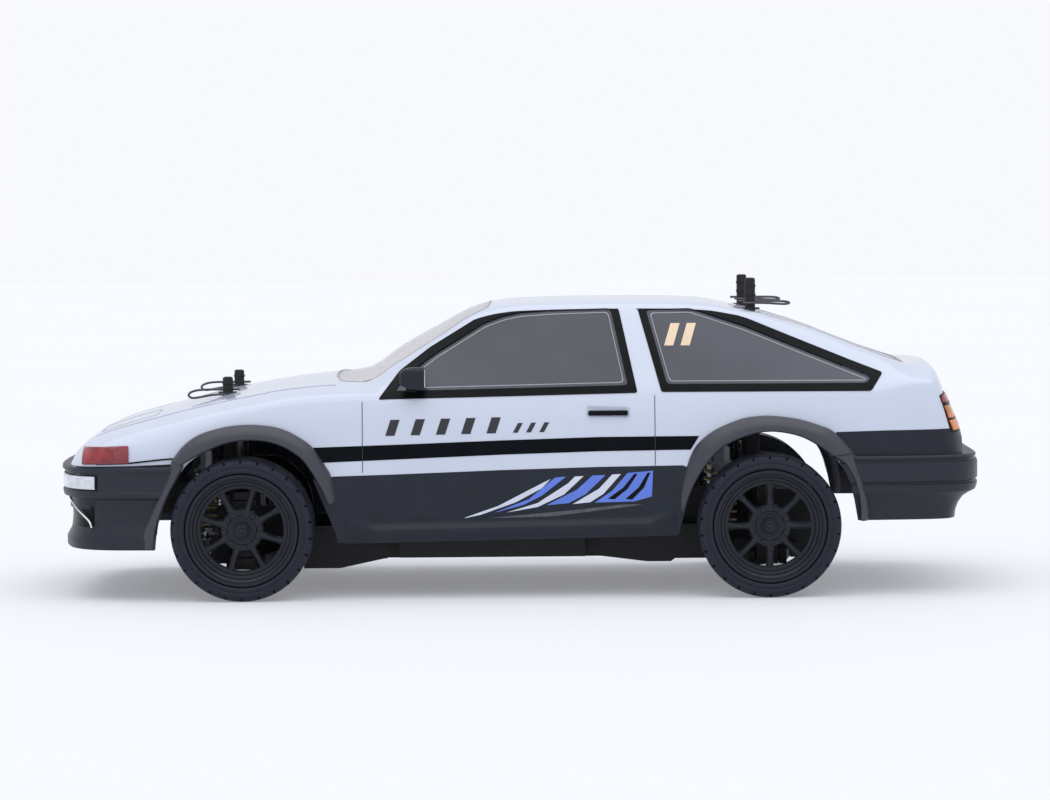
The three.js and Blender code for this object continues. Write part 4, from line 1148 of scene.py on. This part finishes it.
def build_rim(name, centre, first_angle, rear):
    parts = [turned("lip", RIM_PROFILE, centre, RIM), turned("hub", HUB_PROFILE, centre, RIM, 64)]
    cx, cz = centre
    for i in range(SPOKES):
        parts.append(spoke(first_angle + 2 * math.pi * i / SPOKES, centre))
    for i in range(SPOKES):
        angle = first_angle + 2 * math.pi * (i + 0.5) / SPOKES
        x, z = cx + LUG_CIRCLE * math.sin(angle), cz + LUG_CIRCLE * math.cos(angle)
        parts.append(rod("lug", (x, 79.6, z), (x, 81.7, z), 1.5, RIM, 20, 1.2, 0.3))
    parts.append(rod("nut", (cx, 81.0, cz), (cx, 83.2, cz), 3.9, RIM, 6, 3.7, 0.25))
    parts.append(rod("nut_collar", (cx, 83.0, cz), (cx, 84.5, cz), 2.9, RIM, 28, 2.6, 0.2))
    parts.append(rod("axle_tip", (cx, 84.2, cz), (cx, 85.4, cz), 1.5, RIM, 24, 1.2, 0.2))
    if rear:
        parts.append(rod("axle", (cx, 51.4, cz), (cx, 82.0, cz), 2.5, DARK_STEEL, 32))
        parts.append(rod("axle_cup", (cx, 50.4, cz), (cx, 53.4, cz), 4.6, DARK_STEEL, 40, 4.6, 0.3))
    rim = join(name, parts)
    smooth_by(rim.data, 35)
    return rim


NOTCH_R = 32.3
# The notches of each shoulder: their span in Y, and their shift round the tyre in steps.
NOTCH_ROWS = [(82.6, 87.5, 0.0), (58.5, 63.4, 0.5)]


def build_tyre(name, centre):
    tyre = turned("tyre", TYRE_PROFILE, centre, TYRE, 156, 30)
    cx, cz = centre
    cutters = []
    for i in range(NOTCHES):
        for y0, y1, shift in NOTCH_ROWS:
            angle = 2 * math.pi * (i + shift) / NOTCHES
            out = Vector((math.sin(angle), 0, math.cos(angle)))
            block = box("notch", (-0.55, y0, -1.6), (0.55, y1, 2.0), PLAIN)
            block.data.transform(Matrix.Rotation(angle, 4, "Y"))
            block.data.transform(Matrix.Translation((Vector((cx, 0, cz)) + out * NOTCH_R) * MM))
            cutters.append(block)
    cut(tyre, [join("notches", cutters)])
    repaint(tyre, TYRE, 30)
    tyre.name = name
    return tyre


def build_wheels():
    for end, centre, first in (("front", FRONT_AXLE, math.radians(29)), ("rear", REAR_AXLE, 0.0)):
        tyre = build_tyre(f"wheel_tyre_{end}_left", centre)
        rim = build_rim(f"wheel_rim_{end}_left", centre, first, end == "rear")
        for obj, kind, slot in ((tyre, "tyre", "tyre_rubber"), (rim, "rim", "rim_black")):
            other = mirror_copy(obj, obj.name.replace("left", "right"))
            for item, side in ((obj, "left"), (other, "right")):
                place(item, f"wheel_{end}_{side}", slot)
                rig.replaces(item, f"{kind}_{end}_{side}")


build_sills()
build_bumper("bumper_front", NOSE_PATH, NOSE_PROFILE, FRONT_ARCH, "front_bumper")
build_bumper("bumper_rear", TAIL_PATH, TAIL_PROFILE, REAR_ARCH, "rear_bumper")
build_flares()
build_wheels()


# ---------------------------------------------------------------- lamps and trim
# Bars let into the front bumper: profile, start and stop as shares of the path, and material.
NOSE_STRIPS = {
    "turn_lamp_left": (
        [(4.4, 57.4), (5.8, 57.1), (6.3, 56.2), (6.3, 52.2), (5.8, 51.3), (4.4, 51.0)],
        0.4, 0.675, CLEAR_LENS),
    "turn_lamp_edge_left": ([(4.3, 57.9), (5.5, 57.6), (5.5, 50.7), (4.3, 50.4)], 0.39, 0.685, FRAME_BLACK),
    "side_duct_left": (
        [(0.2, 46), (1.9, 45.8), (1.4, 38), (1.9, 33.8), (0.2, 33.6)], 0.42, 0.65, FRAME_BLACK),
}
# The path of a thin chrome wire along the edge of the front bumper's duct: painted highlight along the crease.
DUCT_LIP_GLINT = [
    (203.4, 57, 46.4), (200.4, 64.6, 43.2), (196.4, 71.2, 39.8), (192.4, 74.6, 36.6), (191.4, 75.4, 33.6),
]
# Lamps and trim laid on the flanks: outline, material, lift, depth and step.
FLANK_TRIM = {
    "side_marker_edge_left": (
        round_loop([(195.3, 69.8), (173.9, 70.9), (173.8, 63.2), (195.4, 62.4)], 0.8),
        DARK_RED, 0.7, 0.4, 1.5),
    "side_marker_left": (
        round_loop([(194.6, 69.2), (181, 69.9), (181, 63.7), (194.7, 63.1)], 0.8),
        RED_LENS, 1.0, 0.4, 1.5),
    # A thin black line along the flank just above the front bumper.
    "gasket_left": (
        [(188.8, 62.4), (173.3, 62.9), (159.2, 64.4), (153.8, 64.8), (153.8, 65.5), (159.2, 65.1),
         (173.3, 63.6), (188.8, 63.1)], FRAME_BLACK, 0.5, 0.3, 1.5),
    "tail_lamp_edge_left": (
        [(-195.6, 90.6), (-198.6, 92.2), (-202.2, 87.4), (-206.6, 75.2), (-206.8, 73.8), (-201, 73.6),
         (-197.8, 84.4)], FRAME_BLACK, 0.25, 0.3, 1),
    "tail_lamp_red_left": (
        [(-196.2, 90.2), (-198.6, 91.4), (-201.2, 87.8), (-196.8, 87.4)], RED_LENS, 0.8, 0.3, 1),
    "tail_lamp_amber_left": (
        [(-197.6, 85.8), (-201.4, 86), (-203.2, 80.6), (-199.6, 80.2), (-198.6, 83.6)], AMBER, 0.8, 0.3, 1),
    "tail_lamp_low_left": (
        [(-199.9, 79.2), (-203.6, 79.4), (-205.2, 75), (-201.9, 74.6)], AMBER, 0.8, 0.3, 1),
}


NOSE_STEPS = 120


def nose_strip(name, profile, start, stop, material):
    """A bar carried along part of the front bumper's path, on the left."""
    half = even_path(smooth_path([(x, y, 0) for x, y in NOSE_PATH], 3), NOSE_STEPS + 1)
    part = half[int(start * NOSE_STEPS):int(stop * NOSE_STEPS) + 1]
    return loft(name, carried(part, profile, True), material, 30)


def build_lamps():
    for name, strip in NOSE_STRIPS.items():
        both_sides(nose_strip(name, *strip))
    both_sides(wire("duct_lip_left", smooth_path(DUCT_LIP_GLINT, 3), 0.5, CHROME_GLINT))
    for name, (outline, material, lift, deep, step) in FLANK_TRIM.items():
        both_sides(decal(name, outline, material, lift, deep, step=step))
    panel = [(-200.9, -54), (-206.7, -52), (-206.7, 52), (-200.9, 54)]
    place(roof_sheet("tail_panel", panel, FRAME_BLACK, 0.2, 0.3, step=2.4), "shell")
    for i, (y0, y1, material) in enumerate(((27, 38, RED_LENS), (39, 46, CLEAR_LENS), (47, 52, AMBER))):
        lens = [(-201.7, y0), (-206.1, y0), (-206.1, y1), (-201.7, y1)]
        both_sides(roof_sheet(f"tail_lens_{i}_left", lens, material, 0.7, 0.2, step=1.2))
    plate = [(-202.2, -15), (-205.9, -15), (-205.9, 15), (-202.2, 15)]
    place(roof_sheet("plate_blank", plate, SLASH_WHITE, 0.6, 0.2, step=2), "shell")


def build_bonnet():
    """The lids of the pop-up headlamps and the bonnet's edges, marked by grooves."""
    lid = [(189, 26), (189, 50), (187, 53), (165, 54), (163, 52), (163, 26), (165, 24), (187, 24)]
    inner = [(x + (176 - x) * 0.03, y + (39 - y) * 0.03) for x, y in lid]
    hole = round_loop(inner, 2)
    both_sides(roof_sheet("headlamp_groove_left", round_loop(lid, 2), LINE, 0.12, 0.3, [hole]))
    edge = [(190.5, 60.5), (171, 63.4), (80, 63.6), (80, 62.9), (171, 62.7), (190.5, 59.8)]
    both_sides(roof_sheet("bonnet_line_left", edge, LINE, 0.12, 0.3, step=3))


GRILLE_BARS, GRILLE_POSTS, GRILLE_HALF = 4, 7, 45


def build_grille():
    bars = []
    for i in range(GRILLE_BARS):
        z = 31.8 + 3.2 * i
        bar = box(f"grille_bar_{i}", (196.5, -GRILLE_HALF, z), (199.6, GRILLE_HALF, z + 1.1), NYLON, 0.25)
        bars.append(bar)
    for i in range(GRILLE_POSTS):
        y = -GRILLE_HALF + 2 * GRILLE_HALF * i / (GRILLE_POSTS - 1)
        bars.append(box(f"grille_post_{i}", (195.4, y - 0.7, 30), (198.4, y + 0.7, 44), NYLON, 0.25))
    bars.append(box("grille_back", (191.2, -46.5, 25.4), (192.6, 46.5, 44.5), FRAME_BLACK, 0.3))
    for bar in bars:
        place(bar, "shell", "bumper_grey")


MIRROR_STATIONS = [(39.0, 0.97), (39.6, 1.0), (44, 1.0), (47, 0.93), (49, 0.76), (50.2, 0.45)]
MIRROR_SIDES = 28
MIRROR_CENTRE, MIRROR_HALF = (79.2, 100.9), (4.6, 5.0)
# The housing's section is a rounded oblong: a higher power has squarer corners.
MIRROR_POWER = 5


def build_mirrors():
    rings = []
    for x, grow in MIRROR_STATIONS:
        ring = []
        for i in range(MIRROR_SIDES):
            t = 2 * math.pi * i / MIRROR_SIDES
            c, s = math.cos(t), math.sin(t)
            out = (abs(c) ** MIRROR_POWER + abs(s) ** MIRROR_POWER) ** (-1 / MIRROR_POWER) * grow
            (y, z), (half_y, half_z) = MIRROR_CENTRE, MIRROR_HALF
            ring.append((x, y + half_y * c * out, z + half_z * s * out))
        rings.append(ring)
    housing = loft("mirror_housing_left", rings, LOWER, 40)
    both_sides(bevel(housing, 0.35, 2, 40, 50), slot="bumper_grey")
    both_sides(box("mirror_glass_left", (38.6, 75.6, 97), (39.1, 82.8, 104.8), MIRROR, 0.2))
    foot = [(48, 94.4), (42, 94.4), (42.4, 97.4), (46, 99)]
    both_sides(bevel(prism("mirror_foot_left", foot, 72.6, 77.6, FRAME_BLACK), 0.8, 3), slot="bumper_grey")


def build_handles():
    # The recess above the handle is a flat sheet in a greyer white: painted shade.
    slot = round_loop([(-34.6, 87.6), (-54.2, 87), (-54.2, 82.2), (-34.6, 82.8)], 1.2)
    both_sides(decal("handle_recess_left", slot, RECESS_SHADE, 0.1, 0.3, step=2))
    y = flank_y(-44, 84.6)
    bar = box("door_handle_left", (-53.4, y - 0.6, 83.2), (-35.4, y + 1.9, 85.5), FRAME_BLACK, 0.6)
    both_sides(bar, slot="bumper_grey")


# ---------------------------------------------------------------- posts, clips, springs and the chassis
POST_R, RIB_R = 2.4, 2.7
PIN_HOLE_R, PIN_HOLE_STEP, PIN_HOLE_REACH = 0.85, 5, 30
RIB_STEP = 4.2
CLIP_PATH = [
    (-5.5, 0), (0, 0), (13, 0), (17, 1.6), (18.4, 4.2), (16.6, 6.6), (13.4, 6.2), (9, 4.6), (3.6, 3.6),
    (0, 4.2), (-3.6, 3.4),
]


def build_posts():
    for corner, x, y, low, top, clip_z, way in POSTS:
        post = rod("post", (x, y, low), (x, y, top), POST_R, NYLON, 40, POST_R, 0.9)
        holes = []
        z = clip_z
        while z > clip_z - PIN_HOLE_REACH and z > low + 6:
            holes.append(rod("pin_hole", (x - 4, y, z), (x + 4, y, z), PIN_HOLE_R, PLAIN, 16))
            z -= PIN_HOLE_STEP
        ribs = [rod("rib", (x, y, z + 1.9), (x, y, z + 3.1), RIB_R, NYLON, 40, RIB_R, 0.35)
                for z in np.arange(clip_z + 0.4, top - 4, RIB_STEP)]
        cut(post, [join("pin_holes", holes)])
        post = join("post", [post, *ribs])
        repaint(post, NYLON, 35)
        post.name = f"post_{corner}"
        place(post, "shell", "nylon_black")
        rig.replaces(post, f"body_post_{corner}")
        washer = rod(f"washer_{corner}", (x, y, 0), (x, y, 0.8), 4.6, NYLON, 40, 4.4, 0.25)
        washer.location.z = (roof_z(x, y) + 0.3) * MM
        place(washer, "shell", "nylon_black")
        tilt = 0.55 if way > 0 else 0.2
        path = smooth_path([(x + way * u, y + v, clip_z - v * tilt) for u, v in CLIP_PATH], 3)
        clip = wire(f"clip_{corner}", path, 0.55, DARK_STEEL, 12)
        place(clip, f"clip_{corner}", "steel")
        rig.replaces(clip, f"body_clip_{corner}")


SIDES = (("left", 1), ("right", -1))
DAMPER_X = {"front": 142.0, "rear": -99.0}
DAMPER_TOP, DAMPER_FOOT = Vector((34, 70)), Vector((44, 22))
SPRING_FROM, SPRING_TO = 0.285, 0.828
SPRING_TURNS, SPRING_R, SPRING_WIRE = 7, 5.3, 0.62
TURN_STEPS = 24


def damper_point(x, share, sign):
    p = DAMPER_TOP.lerp(DAMPER_FOOT, share)
    return Vector((x, p[0] * sign, p[1]))


def coil(top, foot):
    """A path round the line from top to foot."""
    forward = Vector((1, 0, 0))
    third = (foot - top).normalized().cross(forward)
    path = []
    for i in range(SPRING_TURNS * TURN_STEPS + 1):
        t = i / (SPRING_TURNS * TURN_STEPS)
        angle = 2 * math.pi * SPRING_TURNS * t
        out = (forward * math.cos(angle) + third * math.sin(angle)) * SPRING_R
        path.append(top.lerp(foot, t) + out)
    return path


def build_springs():
    shift = Vector((DATUM_X, 0, 0))
    for end, x in DAMPER_X.items():
        for side, sign in SIDES:
            top, foot = damper_point(x, SPRING_FROM, sign), damper_point(x, SPRING_TO, sign)
            spring = wire(f"spring_{end}_{side}", coil(top, foot), SPRING_WIRE, GOLD, 8)
            spring.location.x += DATUM_X * MM
            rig.blend(spring, "chassis", f"damper_shaft_{end}_{side}", (top + shift) * MM, (foot + shift) * MM)


# Each chassis part's material, by the start of its node's name; the first that fits is taken.
NODE_LOOK = {
    "chassis_tub": NYLON, "front_bulkhead": NYLON, "rear_gearbox": NYLON, "foam_bumper": FOAM,
    "motor_pinion": STEEL, "motor": ALLOY, "battery_pack": BATTERY, "steering_servo": NYLON,
    "speed_controller": DARK_STEEL, "spur_gear": NYLON, "lower_arm": NYLON, "upper_link": DARK_STEEL,
    "damper_body": ALLOY, "damper_shaft": STEEL, "steering_block": NYLON, "knuckle": NYLON,
    "rear_hub": NYLON, "drive_shaft": STEEL, "steering_rack": NYLON, "tie_rod": DARK_STEEL,
}
NODE_SLOT = {
    FOAM: "foam", BATTERY: "battery_wrap", STEEL: "steel", DARK_STEEL: "steel", ALLOY: "alloy",
    NYLON: "nylon_black",
}
EDGE = 0.3
SAME_PLANE = math.radians(1)


def build_chassis():
    """The chassis parts with their edges rounded off."""
    for node, source in frame["nodes"].items():
        look = next((NODE_LOOK[key] for key in NODE_LOOK if node.startswith(key)), None)
        if look is None:
            continue
        mesh = source.data.copy()
        mesh.transform(source.matrix_world)
        mesh.materials.clear()
        mesh.materials.append(look)
        bm = bmesh.new()
        bm.from_mesh(mesh)
        bmesh.ops.dissolve_limit(bm, angle_limit=SAME_PLANE, verts=bm.verts, edges=bm.edges)
        bm.to_mesh(mesh)
        bm.free()
        piece = new_object(f"{node}_piece", mesh)
        bevel(piece, EDGE, 2, 35, 40)
        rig.ride(piece, source["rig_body"])
        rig.slot(piece, NODE_SLOT[look])
        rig.replaces(piece, node)


def screw(name, spot, axis, r=1.7):
    """A button-head screw with a hexagon socket."""
    axis = Vector(axis).normalized()
    spot = Vector(spot)
    head = rod(name, spot, spot + axis * 1.1, r, DARK_STEEL, 24, r * 0.7, 0.25)
    cut(head, [rod("socket", spot + axis * 0.5, spot + axis * 2, r * 0.42, PLAIN, 6)])
    repaint(head, DARK_STEEL, 35)
    place(head, "chassis", "steel")


def build_screws():
    for i, x in enumerate((-84, -60, 60, 84)):
        for side, sign in SIDES:
            screw(f"tub_screw_{i}_{side}", (x, sign * 18, 14.05), (0, 0, -1))
    for end, x, way in (("front", 129.7, -1), ("rear", -109.7, 1)):
        for side, sign in SIDES:
            screw(f"tower_screw_{end}_{side}", (x, sign * 22, 62), (way, 0, 0))
            screw(f"damper_screw_{end}_{side}", (DAMPER_X[end] + 4, sign * 34, 70), (1, 0, 0), r=2.2)
    for side, sign in SIDES:
        for i, x in enumerate((62, 78)):
            screw(f"servo_screw_{i}_{side}", (x, sign * 23.4, 42.5), (0, 0, 1), r=1.4)


STRAP_PATH = [(-23.6, 17.2), (-23.6, 42.5), (23.6, 42.5), (23.6, 17.2)]
STRAP_HALF_WIDTH, STRAP_THICKNESS = 5, 0.8


def build_straps():
    """Two straps over the battery, each a flat band bent twice."""
    for i, x in enumerate((-22, 18)):
        rings = []
        for y, z in STRAP_PATH:
            outer_y = y + math.copysign(STRAP_THICKNESS, y)
            outer_z = z + (STRAP_THICKNESS if z > 42 else 0)
            x0, x1 = x - STRAP_HALF_WIDTH, x + STRAP_HALF_WIDTH
            rings.append([(x0, y, z), (x1, y, z), (x1, outer_y, outer_z), (x0, outer_y, outer_z)])
        place(bevel(loft(f"battery_strap_{i}", rings, FOAM, 40), 0.15, 2), "chassis")


build_lamps()
build_bonnet()
build_grille()
build_mirrors()
build_handles()
build_posts()
build_springs()
build_chassis()
build_screws()
build_straps()


# ---------------------------------------------------------------- camera, light and stage
FLOOR_HALF = 6.0


def build_floor():
    mesh = bpy.data.meshes.new("floor")
    corners = [(-FLOOR_HALF, -FLOOR_HALF, 0), (FLOOR_HALF, -FLOOR_HALF, 0),
               (FLOOR_HALF, FLOOR_HALF, 0), (-FLOOR_HALF, FLOOR_HALF, 0)]
    mesh.from_pydata(corners, [], [(0, 1, 2, 3)])
    paper = surface("floor", (0.60, 0.61, 0.63), 0.8, vary=0.004, grain=3, shine=0.1)
    shader = paper.node_tree.nodes["Principled BSDF"]
    shader.inputs["Emission Color"].default_value = (0.93, 0.94, 1.0, 1)
    shader.inputs["Emission Strength"].default_value = 0.24
    mesh.materials.append(paper)
    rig.stage(new_object("floor", mesh))


def build_world():
    """Light from all round, with a lighter colour where the camera looks past the floor."""
    bpy.context.scene.view_settings.view_transform = "Standard"
    world = bpy.data.worlds.new("world")
    bpy.context.scene.world = world
    world.use_nodes = True
    nodes, links = world.node_tree.nodes, world.node_tree.links
    seen = nodes["Background"]
    seen.inputs["Color"].default_value = (0.939, 0.947, 0.991, 1)
    lighting = nodes.new("ShaderNodeBackground")
    lighting.inputs["Color"].default_value = (0.92, 0.94, 1.0, 1)
    lighting.inputs["Strength"].default_value = 0.85
    ray = nodes.new("ShaderNodeLightPath")
    either = nodes.new("ShaderNodeMixShader")
    links.new(ray.outputs["Is Camera Ray"], either.inputs["Fac"])
    links.new(lighting.outputs["Background"], either.inputs[1])
    links.new(seen.outputs["Background"], either.inputs[2])
    links.new(either.outputs["Shader"], nodes["World Output"].inputs["Surface"])


def area_light(name, spot, target, size, power):
    data = bpy.data.lights.new(name, "AREA")
    data.shape = "RECTANGLE"
    data.size, data.size_y = size
    data.energy = power
    lamp = bpy.data.objects.new(name, data)
    bpy.context.scene.collection.objects.link(lamp)
    lamp.location = spot
    lamp.rotation_euler = (Vector(target) - Vector(spot)).to_track_quat("-Z", "Y").to_euler()


def build_sun():
    data = bpy.data.lights.new("overhead", "SUN")
    data.energy = 1.3
    data.angle = math.radians(75)
    sun = bpy.data.objects.new("overhead", data)
    bpy.context.scene.collection.objects.link(sun)
    sun.rotation_euler = (math.radians(-14), 0, 0)


CAMERA_SPOT = (-0.00516, 1.7892, 0.1859)
CAMERA_LENS, CAMERA_SENSOR, CAMERA_SHIFT = 129.26, 36, -0.00314
CAMERA_PITCH, CAMERA_ROLL = math.radians(3.19), -0.00847


def build_camera():
    data = bpy.data.cameras.new("camera")
    data.lens = CAMERA_LENS
    data.sensor_width = CAMERA_SENSOR
    data.shift_x = CAMERA_SHIFT
    camera = bpy.data.objects.new("camera", data)
    bpy.context.scene.collection.objects.link(camera)
    right = Vector((-1, 0, 0))
    up = Vector((0, -math.sin(CAMERA_PITCH), math.cos(CAMERA_PITCH)))
    back = Vector((0, math.cos(CAMERA_PITCH), math.sin(CAMERA_PITCH)))
    turn = Matrix((right, up, back)).transposed() @ Matrix.Rotation(CAMERA_ROLL, 3, "Z")
    camera.matrix_world = Matrix.Translation(CAMERA_SPOT) @ turn.to_4x4()
    bpy.context.scene.camera = camera


build_floor()
build_world()
build_sun()
area_light("front", (0.5, 2.2, 1.3), (0, 0, 0.06), (1.4, 0.8), 0.8)
build_camera()

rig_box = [list(corner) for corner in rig.bounds()]
with open("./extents.json", "w") as out:
    json.dump({"cad": CAD_BOUNDS, "visual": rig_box}, out)
